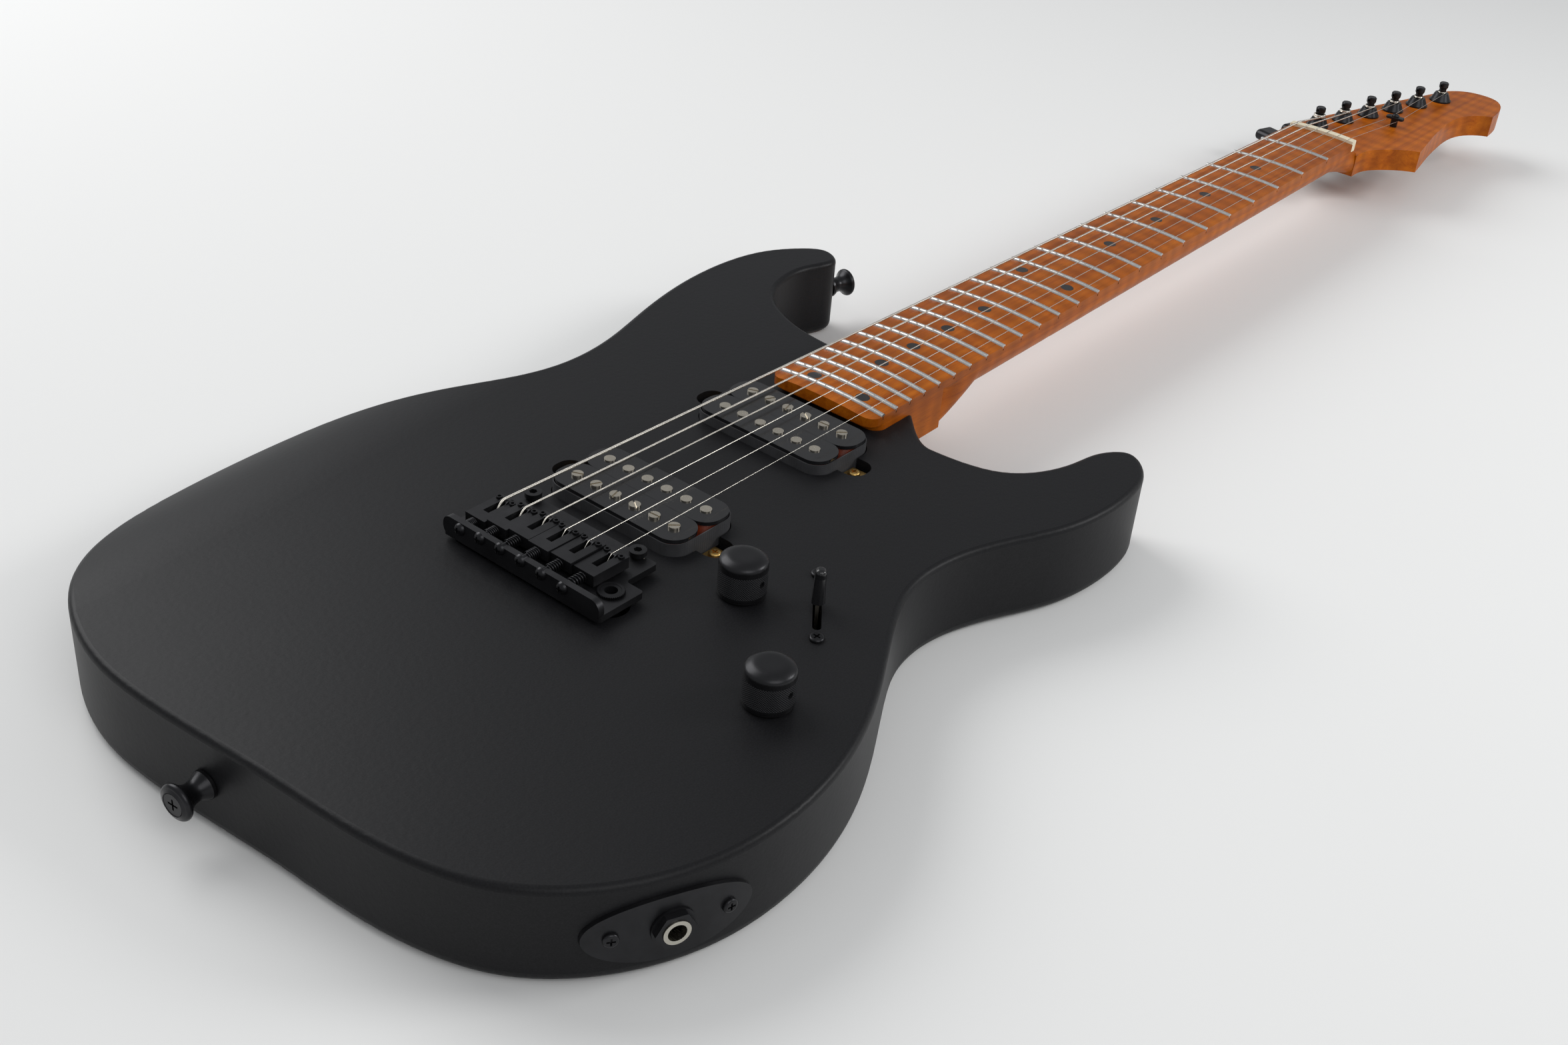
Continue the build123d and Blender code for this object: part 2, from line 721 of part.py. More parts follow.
def fret(number):
    """One fret: a crown over a tang, both bent to the board's radius."""
    turn = degrees(fret_length(number) / 2 / board_radius)
    axis = Axis((0, 0, -board_radius), (1, 0, 0))
    half = fret_crown_width / 2
    with BuildPart() as piece:
        with BuildSketch(Plane(origin=axis.position, x_dir=(1, 0, 0), z_dir=(0, -1, 0))):
            with BuildLine():
                ThreePointArc((-half, board_radius), (0, board_radius + fret_crown_height), (half, board_radius))
                Line((half, board_radius), (-half, board_radius))
            make_face()
            with Locations((0, board_radius - fret_tang_depth / 2 + 0.1)):
                Rectangle(fret_tang_width, fret_tang_depth + 0.2)
        revolve(axis=axis, revolution_arc=2 * turn)
    return piece.part.rotate(axis, -turn).moved(Location((fret_x(number), 0, crown)))


with BuildPart() as frets:
    for number in range(1, fret_count + 1):
        add(fret(number))
finish(frets, "frets")

with BuildPart() as nut:
    add(crowned(scale_length, nut_back, shaft_top, nut_rise))
    with BuildSketch(Plane.XY.offset(shaft_top)):
        with Locations(((scale_length + nut_back) / 2, 0)):
            RectangleRounded(nut_length, nut_width, 0.8)
    extrude(amount=20, mode=Mode.INTERSECT)
    for number in range(string_count):
        slot_y = string_y(number, nut_string_pitch)
        slot = Location((scale_length + nut_length / 2, slot_y, board_z(slot_y) + nut_rise), (0, 90, 0))
        with Locations(slot):
            Cylinder(gauges[number] / 2 + 0.12, nut_length + 1, mode=Mode.SUBTRACT)
finish(nut, "nut")

# ---------------------------------------------------------------- truss rod, neck bolts
with BuildPart() as truss_rod:
    with BuildSketch(Plane.YZ.offset(rod_start)):
        with Locations((0, shaft_top - rod_groove / 2)):
            Circle(rod_radius)
    extrude(amount=rod_end - rod_start)
    with BuildSketch(Plane.YZ.offset(rod_start)):
        with Locations((0, shaft_top - rod_groove / 2)):
            RegularPolygon(rod_groove / 2 - 0.1, 6)
    extrude(amount=8)
finish(truss_rod, "truss_rod")

with BuildPart() as neck_ferrules:
    with Locations(*[(x, y, ferrule_depth / 2) for x, y in neck_screws_at]):
        Cylinder(ferrule_radius, ferrule_depth)
    with Locations(*upside(neck_screws_at)):
        CounterSinkHole(neck_screw_radius + screw_gap, 4.9)
finish(neck_ferrules, "neck_ferrules")

with BuildPart() as neck_screws:
    for x, y in neck_screws_at:
        with Locations((x, y, (heel_bottom + neck_screw_depth) / 2)):
            Cylinder(neck_screw_radius, heel_bottom + neck_screw_depth - 2)
        with Locations((x, y, 1.4)):
            Cone(4.7, neck_screw_radius, 2.6)
    for x, y in neck_screws_at:
        with Locations((x, y, 0)):
            Box(5, 0.9, 2.6, mode=Mode.SUBTRACT)
            Box(0.9, 5, 2.6, mode=Mode.SUBTRACT)
finish(neck_screws, "neck_screws")

# ---------------------------------------------------------------- bridge
wall_front = plate_rear + wall_thickness
block_front = block_rear + block_length
block_bottom = plate_bottom - block_height
stud_head_gap = 1.2         # plate's top to the stud's head, room for the plate to tip
stud_head_height = 2.0
stud_head_bottom = plate_top + stud_head_gap


def string_hole(number):
    return (block_rear + block_length / 2, string_y(number, bridge_string_pitch))


def saddle_top(number):
    return string_z(number) - gauges[number] / 2 - saddle_crest_rise


def saddle_bottom(number):
    return saddle_top(number) - saddle_height


def intonation_at(number):
    """Across and up: where the wall holds the screw of one saddle."""
    return (string_y(number, bridge_string_pitch), saddle_bottom(number) + 2.4)


with BuildPart() as bridge_plate:
    with BuildSketch(Plane.XY.offset(plate_bottom)):
        with BuildLine():
            Polyline(
                (plate_rear, plate_half_width),
                (plate_front, plate_half_width),
                (plate_front, -plate_half_width),
                (wing_front, -plate_half_width),
                (wing_front, -wing_half_width),
                (plate_rear, -wing_half_width),
                close=True,
            )
        make_face()
        fillet(vertices(), 1.5)
        for side in (-1, 1):
            with Locations((pivot_x + 5, side * stud_spread / 2)):
                Rectangle(10, 2 * (stud_radius + 0.4), mode=Mode.SUBTRACT)
            with Locations((pivot_x, side * stud_spread / 2)):
                Circle(stud_radius + 0.4, mode=Mode.SUBTRACT)
        with Locations((arm_x, arm_y)):
            Circle(arm_socket_radius + running, mode=Mode.SUBTRACT)
        with Locations(*[(x + 1.5, y) for x, y in map(string_hole, range(string_count))]):
            SlotOverall(8.2, 5.2, mode=Mode.SUBTRACT)
    extrude(amount=plate_thickness)
    with BuildSketch(Plane.YZ.offset(plate_rear)):
        with Locations(((plate_half_width - wing_half_width) / 2, plate_bottom + wall_height / 2)):
            Rectangle(plate_half_width + wing_half_width, wall_height)
        fillet(vertices().group_by(Axis.Z)[-1], 4)
    extrude(amount=wall_thickness)
    with BuildSketch(Plane.YZ.offset(plate_rear)):
        with Locations(*map(intonation_at, range(string_count))):
            Circle(intonation_radius + screw_gap)
    extrude(amount=wall_thickness, mode=Mode.SUBTRACT)
finish(bridge_plate, "bridge_plate")

with BuildPart() as bridge_block:
    with BuildSketch(Plane.XY.offset(block_bottom)):
        with Locations((block_rear + block_length / 2, 0)):
            RectangleRounded(block_length, block_width, 1.5)
    extrude(amount=block_height)
    with Locations(*[(x, y, plate_bottom) for x, y in map(string_hole, range(string_count))]):
        Hole(2.0)
    with Locations(*[(x, y, block_bottom + 6) for x, y in map(string_hole, range(string_count))]):
        Cylinder(3.6, 12, mode=Mode.SUBTRACT)
    for number in (-1, 0, 1):
        with Locations(Location((block_front, number * spring_spacing, spring_z), (0, 90, 0))):
            Cylinder(1.0, 12, mode=Mode.SUBTRACT)
finish(bridge_block, "bridge_block")

with BuildPart() as saddles:
    for number in range(string_count):
        low, high = saddle_bottom(number), saddle_top(number)
        front = saddle_x(number) + saddle_front
        crest = string_z(number) - gauges[number] / 2
        mid_x = front - saddle_length / 2
        y = string_y(number, bridge_string_pitch)
        with Locations((mid_x, y, (low + high) / 2)):
            Box(saddle_length, saddle_width, saddle_height)
        crest_x = front - saddle_crest_setback
        with BuildSketch(Plane.XZ.offset(-y)):
            with BuildLine():
                ridge = CenterArc((crest_x, crest - saddle_crest_radius), saddle_crest_radius, 15, 120)
                Polyline(ridge @ 1, (front - 5.4, low + 1), (front, low + 1), ridge @ 0)
            make_face()
        extrude(amount=1.8, both=True)
        with Locations((front - 8.4, y, high)):
            Box(9.2, 3.0, 20, mode=Mode.SUBTRACT)
        for side in (-1, 1):
            with Locations((front - 2.6, y + side * 3.6, high)):
                Hole(1.25 + screw_gap)
        with Locations(Location((front - saddle_length, *intonation_at(number)), (0, 90, 0))):
            Cylinder(intonation_radius + screw_gap, 10, mode=Mode.SUBTRACT)
finish(saddles, "saddles")


def intonation_screw(length):
    """Screw along +X with a domed head behind the wall and a cross recess."""
    with BuildPart() as piece:
        with BuildSketch(Plane.YZ):
            Circle(intonation_radius)
        extrude(amount=length)
        with BuildSketch(Plane.XZ):
            with BuildLine():
                dome = ThreePointArc((0, 2.6), (-1.3, 1.8), (-1.8, 0))
                Polyline(dome @ 1, (0, 0), dome @ 0)
            make_face()
        revolve(axis=Axis.X)
        with Locations((-1.8, 0, 0)):
            Box(1.8, 2.8, 0.6, mode=Mode.SUBTRACT)
            Box(1.8, 0.6, 2.8, mode=Mode.SUBTRACT)
    return piece.part


with BuildPart() as saddle_screws:
    for number in range(string_count):
        front = saddle_x(number) + saddle_front
        y = string_y(number, bridge_string_pitch)
        head_z = saddle_top(number) + 0.9
        for side in (-1, 1):
            with Locations((front - 2.6, y + side * 3.6, (plate_top + head_z) / 2)):
                Cylinder(1.25, head_z - plate_top)
            with Locations((front - 2.6, y + side * 3.6, head_z)):
                Cylinder(0.7, 3, mode=Mode.SUBTRACT)
        reach = front - saddle_length + 4.5 - plate_rear
        add(intonation_screw(reach).moved(Location((plate_rear, *intonation_at(number)))))
finish(saddle_screws, "saddle_screws")

with BuildPart() as saddle_springs:
    for number in range(string_count):
        rear = saddle_x(number) + saddle_front - saddle_length
        with BuildSketch(Plane.YZ.offset(wall_front)):
            with Locations(intonation_at(number)):
                Circle(2.2)
                Circle(intonation_radius + screw_gap, mode=Mode.SUBTRACT)
        extrude(amount=rear - wall_front)
finish(saddle_springs, "saddle_springs")

with BuildPart() as arm_socket:
    with Locations((arm_x, arm_y, plate_top + 1 - arm_socket_length / 2)):
        Cylinder(arm_socket_radius, arm_socket_length)
    with Locations((arm_x, arm_y, plate_top + 1)):
        Hole(arm_bore_radius, depth=arm_socket_length - 3)
finish(arm_socket, "arm_socket")

with BuildPart() as bridge_studs:
    for side in (-1, 1):
        y = side * stud_spread / 2
        with Locations((pivot_x, y, (top + 0.6 + stud_head_bottom) / 2 - 5)):
            Cylinder(stud_radius, stud_head_bottom - top - 0.6 + 10)
        with Locations((pivot_x, y, top + 1.0)):
            Cylinder(4.2, 0.8)
        with Locations((pivot_x, y, stud_head_bottom + stud_head_height / 2)):
            Cylinder(stud_head_radius, stud_head_height)
        with BuildSketch(Plane.XY.offset(stud_head_bottom + stud_head_height - 1.5)):
            with Locations((pivot_x, y)):
                RegularPolygon(1.7, 6)
        extrude(amount=2, mode=Mode.SUBTRACT)
finish(bridge_studs, "bridge_studs")

with BuildPart() as stud_inserts:
    for side in (-1, 1):
        with Locations((pivot_x, side * stud_spread / 2, top - insert_length / 2)):
            Cylinder(insert_radius, insert_length)
        with Locations((pivot_x, side * stud_spread / 2, top + 0.25)):
            Cylinder(insert_radius + 0.8, 0.5)
    for side in (-1, 1):
        with Locations((pivot_x, side * stud_spread / 2, top + 0.5)):
            Hole(stud_radius + running, depth=15)
finish(stud_inserts, "stud_inserts")

# ---------------------------------------------------------------- springs and claw in the back
spring_body_start = block_front + 8
spring_body_end = claw_x - 8
with BuildPart() as spring_claw:
    with Locations((claw_x, 0, spring_z)):
        Box(2, 50, 9)
    with Locations((claw_x - 3, 0, spring_z - 3.7)):
        Box(8, 50, 1.6)
    for number in (-1, 0, 1):
        with Locations((claw_x - 4.5, number * spring_spacing, spring_z - 3.7)):
            Cylinder(1.2, 4, mode=Mode.SUBTRACT)
    for y in claw_screws_y:
        with Locations(Location((claw_x, y, spring_z), (0, 90, 0))):
            Cylinder(claw_screw_radius + screw_gap, 10, mode=Mode.SUBTRACT)
finish(spring_claw, "spring_claw")

with BuildPart() as claw_screws:
    for y in claw_screws_y:
        with Locations(Location((claw_x - 1 + 18, y, spring_z), (0, 90, 0))):
            Cylinder(claw_screw_radius, 36)
        with Locations(Location((claw_x - 1 - 1.2, y, spring_z), (0, 90, 0))):
            Cylinder(claw_head_radius, 2.4)
        with Locations((claw_x - 3.4, y, spring_z)):
            Box(1.6, 6, 0.8, mode=Mode.SUBTRACT)
            Box(1.6, 0.8, 6, mode=Mode.SUBTRACT)
finish(claw_screws, "claw_screws")

with BuildPart() as tremolo_springs:
    for number in (-1, 0, 1):
        y = number * spring_spacing
        with BuildSketch(Plane.YZ.offset(spring_body_start)):
            with Locations((y, spring_z)):
                Circle(spring_radius)
                Circle(spring_radius - spring_wire, mode=Mode.SUBTRACT)
        extrude(amount=spring_body_end - spring_body_start)
        for x in (spring_body_start, spring_body_end - 1):
            with BuildSketch(Plane.YZ.offset(x)):
                with Locations((y, spring_z)):
                    Circle(spring_radius)
            extrude(amount=1)
        with BuildSketch(Plane.YZ.offset(block_front - 5)):
            with Locations((y, spring_z)):
                Circle(spring_wire / 2)
        extrude(amount=spring_body_start - block_front + 5)
        with BuildSketch(Plane.XZ.offset(-y)):
            with BuildLine():
                hook = FilletPolyline(
                    (spring_body_end, spring_z),
                    (claw_x - 4.5, spring_z),
                    (claw_x - 4.5, spring_z - 5.5),
                    radius=1.5,
                )
                offset(hook, spring_wire / 2, kind=Kind.ARC)
            make_face()
        extrude(amount=spring_wire / 2, both=True)
finish(tremolo_springs, "tremolo_springs")

# ---------------------------------------------------------------- pickups
pickups = (
    (bridge_pickup_x, top + bridge_pickup_rise, pole_pitch_bridge, -1),
    (neck_pickup_x, top + neck_pickup_rise, pole_pitch_neck, 1),
)
bobbin_height = 2 * bobbin_thickness + coil_height
magnet_thickness = 3.2
base_thickness = 1.0
core_width = 7.0
core_length = pickup_length - 12
winding_inset = 0.8
ear_level = top - 3.5       # ears stand just under the body's top
pole_screw_length = 19.0
pole_head_height = 1.0
mount_screw_length = 24.0


def pole_spots(x, pitch, side):
    """Places of six poles in a row, on the side of the pickup given by the sign."""
    return [(x + side * bobbin_offset, string_y(number, pitch)) for number in range(string_count)]


def coil_places(x):
    return [(x + side * bobbin_offset, 0) for side in (-1, 1)]


with BuildPart() as pickup_bobbins:
    for x, rim, pitch, screw_side in pickups:
        for level in (rim - bobbin_thickness, rim - bobbin_height):
            with BuildSketch(Plane.XY.offset(level)):
                with Locations(*coil_places(x)):
                    RectangleRounded(bobbin_width, pickup_length, bobbin_corner)
            extrude(amount=bobbin_thickness)
        with BuildSketch(Plane.XY.offset(rim - bobbin_height)):
            with Locations(*coil_places(x)):
                RectangleRounded(core_width, core_length, core_width / 2 - 0.1)
        extrude(amount=bobbin_height)
    for x, rim, pitch, screw_side in pickups:
        poles = pole_spots(x, pitch, -1) + pole_spots(x, pitch, 1)
        with Locations(*[(px, py, rim) for px, py in poles]):
            Hole(pole_radius + running)
finish(pickup_bobbins, "pickup_bobbins")

with BuildPart() as pickup_coils:
    for x, rim, pitch, screw_side in pickups:
        with BuildSketch(Plane.XY.offset(rim - bobbin_thickness - coil_height)):
            with Locations(*coil_places(x)):
                RectangleRounded(
                    bobbin_width - 2 * winding_inset, pickup_length - 2 * winding_inset, bobbin_corner
                )
                RectangleRounded(core_width + 0.2, core_length + 0.2, core_width / 2, mode=Mode.SUBTRACT)
        extrude(amount=coil_height)
finish(pickup_coils, "pickup_coils")

with BuildPart() as pickup_tape:
    for x, rim, pitch, screw_side in pickups:
        with BuildSketch(Plane.XY.offset(rim - bobbin_height)):
            with Locations((x, 0)):
                RectangleRounded(
                    pickup_width + 2 * tape_thickness, pickup_length + 2 * tape_thickness, bobbin_corner
                )
                RectangleRounded(
                    pickup_width + 2 * running, pickup_length + 2 * running, bobbin_corner - 0.5,
                    mode=Mode.SUBTRACT,
                )
        extrude(amount=bobbin_height - bobbin_thickness)
finish(pickup_tape, "pickup_tape")

with BuildPart(mode=Mode.PRIVATE) as pole_screw:
    with Locations((0, 0, pole_head_height - pole_screw_length / 2)):
        Cylinder(1.6, pole_screw_length)
    with Locations((0, 0, 0.1)):
        Cylinder(pole_radius, 2 * pole_head_height - 0.2)
    with Locations((0, 0, pole_head_height)):
        Box(0.8, 2 * pole_radius, 1.2, mode=Mode.SUBTRACT)

with BuildPart() as pole_pieces:
    for x, rim, pitch, screw_side in pickups:
        with BuildSketch(Plane.XY.offset(rim - bobbin_height)):
            with Locations(*pole_spots(x, pitch, -screw_side)):
                Circle(pole_radius)
        extrude(amount=bobbin_height + 0.5)
        for number, (px, py) in enumerate(pole_spots(x, pitch, screw_side)):
            add(pole_screw.part.moved(Location((px, py, rim), (0, 0, 25 + 40 * number))))
finish(pole_pieces, "pole_pieces")

with BuildPart() as pickup_magnets:
    for x, rim, pitch, screw_side in pickups:
        with Locations((x, 0, rim - bobbin_height - magnet_thickness / 2)):
            Box(2 * (bobbin_offset - pole_radius) - 1, 60, magnet_thickness)
finish(pickup_magnets, "pickup_magnets")

leg_y = pickup_length / 2 + 1.7
ear_end = ear_spread / 2 + 4.5
ear_start = leg_y - base_thickness / 2
ear_y = (ear_start + ear_end) / 2
ear_run = ear_end - ear_start
with BuildPart() as pickup_bases:
    for x, rim, pitch, screw_side in pickups:
        base_top = rim - bobbin_height - magnet_thickness
        with BuildSketch(Plane.XY.offset(base_top - base_thickness)):
            with Locations((x, 0)):
                RectangleRounded(pickup_width, pickup_length - 3, bobbin_corner - 1)
                Rectangle(9, 2 * leg_y + base_thickness)
            with Locations(*pole_spots(x, pitch, screw_side)):
                Circle(2.0, mode=Mode.SUBTRACT)
        extrude(amount=base_thickness)
        for side in (-1, 1):
            with Locations((x, side * leg_y, (base_top + ear_level - base_thickness) / 2)):
                Box(9, base_thickness, ear_level - base_top + base_thickness)
            with Locations((x, side * ear_y, ear_level - base_thickness / 2)):
                Box(9, ear_run, base_thickness)
            with Locations((x, side * ear_spread / 2, ear_level)):
                Hole(wood_screw_radius + screw_gap, depth=base_thickness * 2)
finish(pickup_bases, "pickup_bases")

with BuildPart() as pickup_mount_screws:
    for x, rim, pitch, screw_side in pickups:
        for side in (-1, 1):
            mount_screw = screw(wood_screw_radius, mount_screw_length, 2.7, 1.6)
            add(mount_screw.moved(Location((x, side * ear_spread / 2, ear_level))))
finish(pickup_mount_screws, "pickup_mount_screws")

# ---------------------------------------------------------------- knobs and potentiometers
pot_top = cavity_top
pot_bushing_top = top + 4.0
shaft_top_z = top + knob_gap + knob_height - 3.5
knob_hollow = 7.2
knob_hollow_height = 5.5
controls = (("volume", volume_at), ("tone", tone_at))

with BuildPart() as potentiometers:
    for name, (x, y) in controls:
        with Locations((x, y, pot_top - pot_height / 2 - 1.2)):
            Cylinder(pot_radius, pot_height)
        with Locations((x, y, pot_top - 0.8)):
            Cylinder(4.6, 1.6)
        with Locations((x, y, (pot_top + pot_bushing_top) / 2)):
            Cylinder(pot_bushing_radius, pot_bushing_top - pot_top)
        with Locations((x, y - pot_radius, pot_top - 4)):
            Box(12, 9, 1.2)
    for name, (x, y) in controls:
        with Locations((x, y, pot_bushing_top)):
            Hole(shaft_radius + running - 0.4, depth=pot_bushing_top - pot_top + 4)
finish(potentiometers, "potentiometers")

for name, (x, y) in controls:
    with BuildPart() as shaft:
        with BuildSketch(Plane.XY.offset(pot_top - 3.5)):
            with Locations((x, y)):
                Circle(shaft_radius - 0.4)
        extrude(amount=shaft_top_z - pot_top + 3.5)
    finish(shaft, f"{name}_shaft")
    with BuildPart() as knob:
        base = top + knob_gap
        with BuildSketch(Plane(origin=(x, y, base), x_dir=(1, 0, 0), z_dir=(0, -1, 0))):
            with BuildLine():
                edge = Line((knob_radius - 0.3, 0), (knob_radius - 0.3, 0.8))
                wall = Polyline(edge @ 1, (knob_radius, 1.1), (knob_radius, knob_height - 3.2))
                dome = Spline(
                    wall @ 1,
                    (knob_radius - 1.3, knob_height - 1.1),
                    (0, knob_height),
                    tangents=[(0, 1), (-1, 0)],
                )
                Polyline(dome @ 1, (0, 0), edge @ 0)
            make_face()
        revolve(axis=Axis((x, y, 0), (0, 0, 1)))
        with Locations((x, y, base)):
            with Locations((0, 0, knob_hollow_height / 2)):
                Cylinder(knob_hollow, knob_hollow_height, mode=Mode.SUBTRACT)
            with Locations((0, 0, (shaft_top_z - base) / 2 + 0.1)):
                Cylinder(shaft_radius - 0.4 + running, shaft_top_z - base + 0.2, mode=Mode.SUBTRACT)
        with Locations(Location((x, y - knob_radius, base + 7.5), (90, 0, 0))):
            Cylinder(1.3, 2 * (knob_radius - shaft_radius - 1), mode=Mode.SUBTRACT)
    finish(knob, f"{name}_knob")

# ---------------------------------------------------------------- pickup switch
switch_plane = Plane(origin=(*switch_at, cavity_top), x_dir=switch_dir, z_dir=(0, 0, 1))
lever_pivot_z = top - lever_pivot_depth
lever_plane = Plane(
    origin=(*switch_at, lever_pivot_z), x_dir=switch_dir, z_dir=switch_dir.cross(Vector(0, 0, 1))
)
tip_base = top + 2.8
tip_height = 14.0
lever_hole = 2.0
with BuildPart() as switch_frame:
    with BuildSketch(switch_plane):
        Rectangle(switch_screw_spread + 9, 11)
        Rectangle(switch_slot_length - 4, switch_slot_width, mode=Mode.SUBTRACT)
        with Locations(*[(side * switch_screw_spread / 2, 0) for side in (-1, 1)]):
            Circle(wood_screw_radius + screw_gap, mode=Mode.SUBTRACT)
    extrude(amount=-1.2)
    with BuildSketch(switch_plane):
        with Locations((0, 4.9), (0, -4.9)):
            Rectangle(34, 1.2)
    extrude(amount=-22)
    with BuildSketch(lever_plane):
        Circle(lever_hole - running)
    extrude(amount=4.5, both=True)
finish(switch_frame, "switch_frame")

tip_local = tip_base - lever_pivot_z
with BuildPart() as switch_lever:
    with BuildSketch(lever_plane):
        Circle(4.5)
        with Locations((0, (tip_local + 9) / 2)):
            Rectangle(lever_width - 1.5, tip_local + 9)
        Circle(lever_hole, mode=Mode.SUBTRACT)
    extrude(amount=lever_thickness / 2, both=True)
finish(switch_lever, "switch_lever")

with BuildPart() as switch_tip:
    tip_sections = ((0, 7.4, 5.4), (4, 6.6, 5.0), (10.5, 5.0, 4.4))
    for height, length, width in tip_sections:
        with BuildSketch(switch_plane.offset(tip_base + height - cavity_top)):
            RectangleRounded(length, width, width / 2 - 0.3)
    loft()
    tip_crown = tip_height - 10.5
    with BuildSketch(switch_plane.offset(tip_base + 10.5 - cavity_top)):
        RectangleRounded(5.0, 4.4, 1.9)
    extrude(amount=tip_crown)
    fillet(switch_tip.edges().group_by(Axis.Z)[-1], 1.8)
    with BuildSketch(switch_plane.offset(tip_base - cavity_top)):
        Rectangle(lever_width - 1.5 + 2 * screw_gap, lever_thickness + 2 * screw_gap)
    extrude(amount=9 + screw_gap, mode=Mode.SUBTRACT)
finish(switch_tip, "switch_tip")

# ---------------------------------------------------------------- jack and strap buttons
jack_nose = 5.0
jack_shoulder = 0.5         # wall's tangent plane to the socket's shoulder


def beside_jack(out):
    """Curve of the side round the jack, moved outward."""
    points = []
    for step in range(-4, 5):
        spot = jack_near + jack_plane.x_dir * (step * jack_plate_length / 7)
        near, angle = side_normal(body_face, spot.X, spot.Y)
        points.append(near + Vector(cos(radians(angle)), sin(radians(angle)), 0) * out)
    return points


with BuildPart() as jack_plate:
    with BuildSketch():
        with BuildLine():
            inner = Spline(*beside_jack(running))
            outer = Spline(*beside_jack(jack_plate_thickness))
            Line(inner @ 0, outer @ 0)
            Line(inner @ 1, outer @ 1)
        make_face()
    extrude(amount=body_thickness)
    with BuildSketch(jack_plane.offset(-12)):
        Ellipse(jack_plate_length / 2, jack_plate_width / 2)
        Circle(jack_sleeve_radius + screw_gap, mode=Mode.SUBTRACT)
    extrude(amount=24, mode=Mode.INTERSECT)
    for plane in jack_screw_planes:
        with BuildSketch(plane):
            Circle(wood_screw_radius + screw_gap)
        extrude(amount=2 * jack_plate_thickness, both=True, mode=Mode.SUBTRACT)
finish(jack_plate, "jack_plate")

with BuildPart() as jack_socket:
    with BuildSketch(jack_plane.offset(-jack_shoulder - 3)):
        Circle(jack_sleeve_radius)
        Circle(jack_bore_radius, mode=Mode.SUBTRACT)
    extrude(amount=jack_shoulder + 3 + jack_nose)
    with BuildSketch(jack_plane.offset(-jack_shoulder)):
        Circle(9)
        Circle(jack_bore_radius, mode=Mode.SUBTRACT)
    extrude(amount=-3)
    with BuildSketch(jack_plane.offset(-jack_shoulder - 2)):
        with Locations((0, 6), (0, -6)):
            Rectangle(6, 1)
    extrude(amount=-24)
finish(jack_socket, "jack_socket")

panel_nut_height = 2.2
with BuildPart() as panel_nuts:
    with BuildSketch(jack_plane.offset(jack_plate_thickness)):
        Circle(7.6)
        Circle(jack_sleeve_radius + screw_gap, mode=Mode.SUBTRACT)
    extrude(amount=0.7)
    with BuildSketch(jack_plane.offset(jack_plate_thickness + 0.7)):
        RegularPolygon(7.2, 6)
        Circle(jack_sleeve_radius + screw_gap, mode=Mode.SUBTRACT)
    extrude(amount=panel_nut_height)
    for name, (x, y) in controls:
        with BuildSketch(Plane.XY.offset(top)):
            with Locations((x, y)):
                RegularPolygon(5.8, 6)
                Circle(pot_bushing_radius + screw_gap, mode=Mode.SUBTRACT)
        extrude(amount=panel_nut_height)
finish(panel_nuts, "panel_nuts")


strap_screw_seat = strap_button_length - 2.6


def strap_profile():
    """Half section of a strap button, along its own axis."""
    with BuildSketch(Plane.XZ) as sketch:
        with BuildLine():
            half = Polyline((strap_screw_radius + screw_gap, 0.4), (5.5, 0.4), (5.5, 1.6))
            neck_curve = Spline(
                half @ 1, (3.9, 5), (strap_head_radius - 0.6, strap_button_length - 3.2),
                tangents=[(-0.6, 1), (1, 0.7)],
            )
            rim_arc = ThreePointArc(
                neck_curve @ 1, (strap_head_radius, strap_button_length - 2.2),
                (strap_head_radius - 1.2, strap_button_length - 0.6),
            )
            Polyline(
                rim_arc @ 1,
                (4.6, strap_button_length),
                (strap_screw_radius + screw_gap, strap_screw_seat),
                half @ 0,
            )
        make_face()
    return sketch.sketch


with BuildPart(mode=Mode.PRIVATE) as strap_button:
    add(strap_profile())
    revolve(axis=Axis.Z)
with BuildPart() as strap_buttons:
    add(put(strap_button.part, [tail_plane.location, horn_plane.location]))
finish(strap_buttons, "strap_buttons")

with BuildPart(mode=Mode.PRIVATE) as strap_screw:
    with Locations((0, 0, (strap_screw_seat - strap_screw_length + 1) / 2)):
        Cylinder(strap_screw_radius, strap_screw_seat + strap_screw_length - 1)
    with Locations((0, 0, strap_screw_seat + 1.2)):
        Cone(strap_screw_radius, 4.2, 2.4)
    with BuildSketch(Plane.XY.offset(strap_screw_seat + 1.4)):
        Rectangle(4.6, 0.8)
        Rectangle(0.8, 4.6)
    extrude(amount=2, mode=Mode.SUBTRACT)
with BuildPart() as strap_screws:
    add(put(strap_screw.part, [tail_plane.location, horn_plane.location]))
finish(strap_screws, "strap_screws")

# ---------------------------------------------------------------- string tree
tree_bottom = head_face + tree_rise
with BuildPart() as string_tree:
    with Locations((*tree_at, (head_face + tree_bottom) / 2)):
        Cylinder(2.2, tree_bottom - head_face)
    with BuildSketch(Plane.XY.offset(tree_bottom)):
        with Locations(tree_at):
            RectangleRounded(5, 11.5, 2)
    extrude(amount=tree_thickness)
    fillet(string_tree.edges().group_by(Axis.Z)[-1], 0.6)
    with Locations((*tree_at, tree_bottom + tree_thickness)):
        Hole(wood_screw_radius + screw_gap)
finish(string_tree, "string_tree")

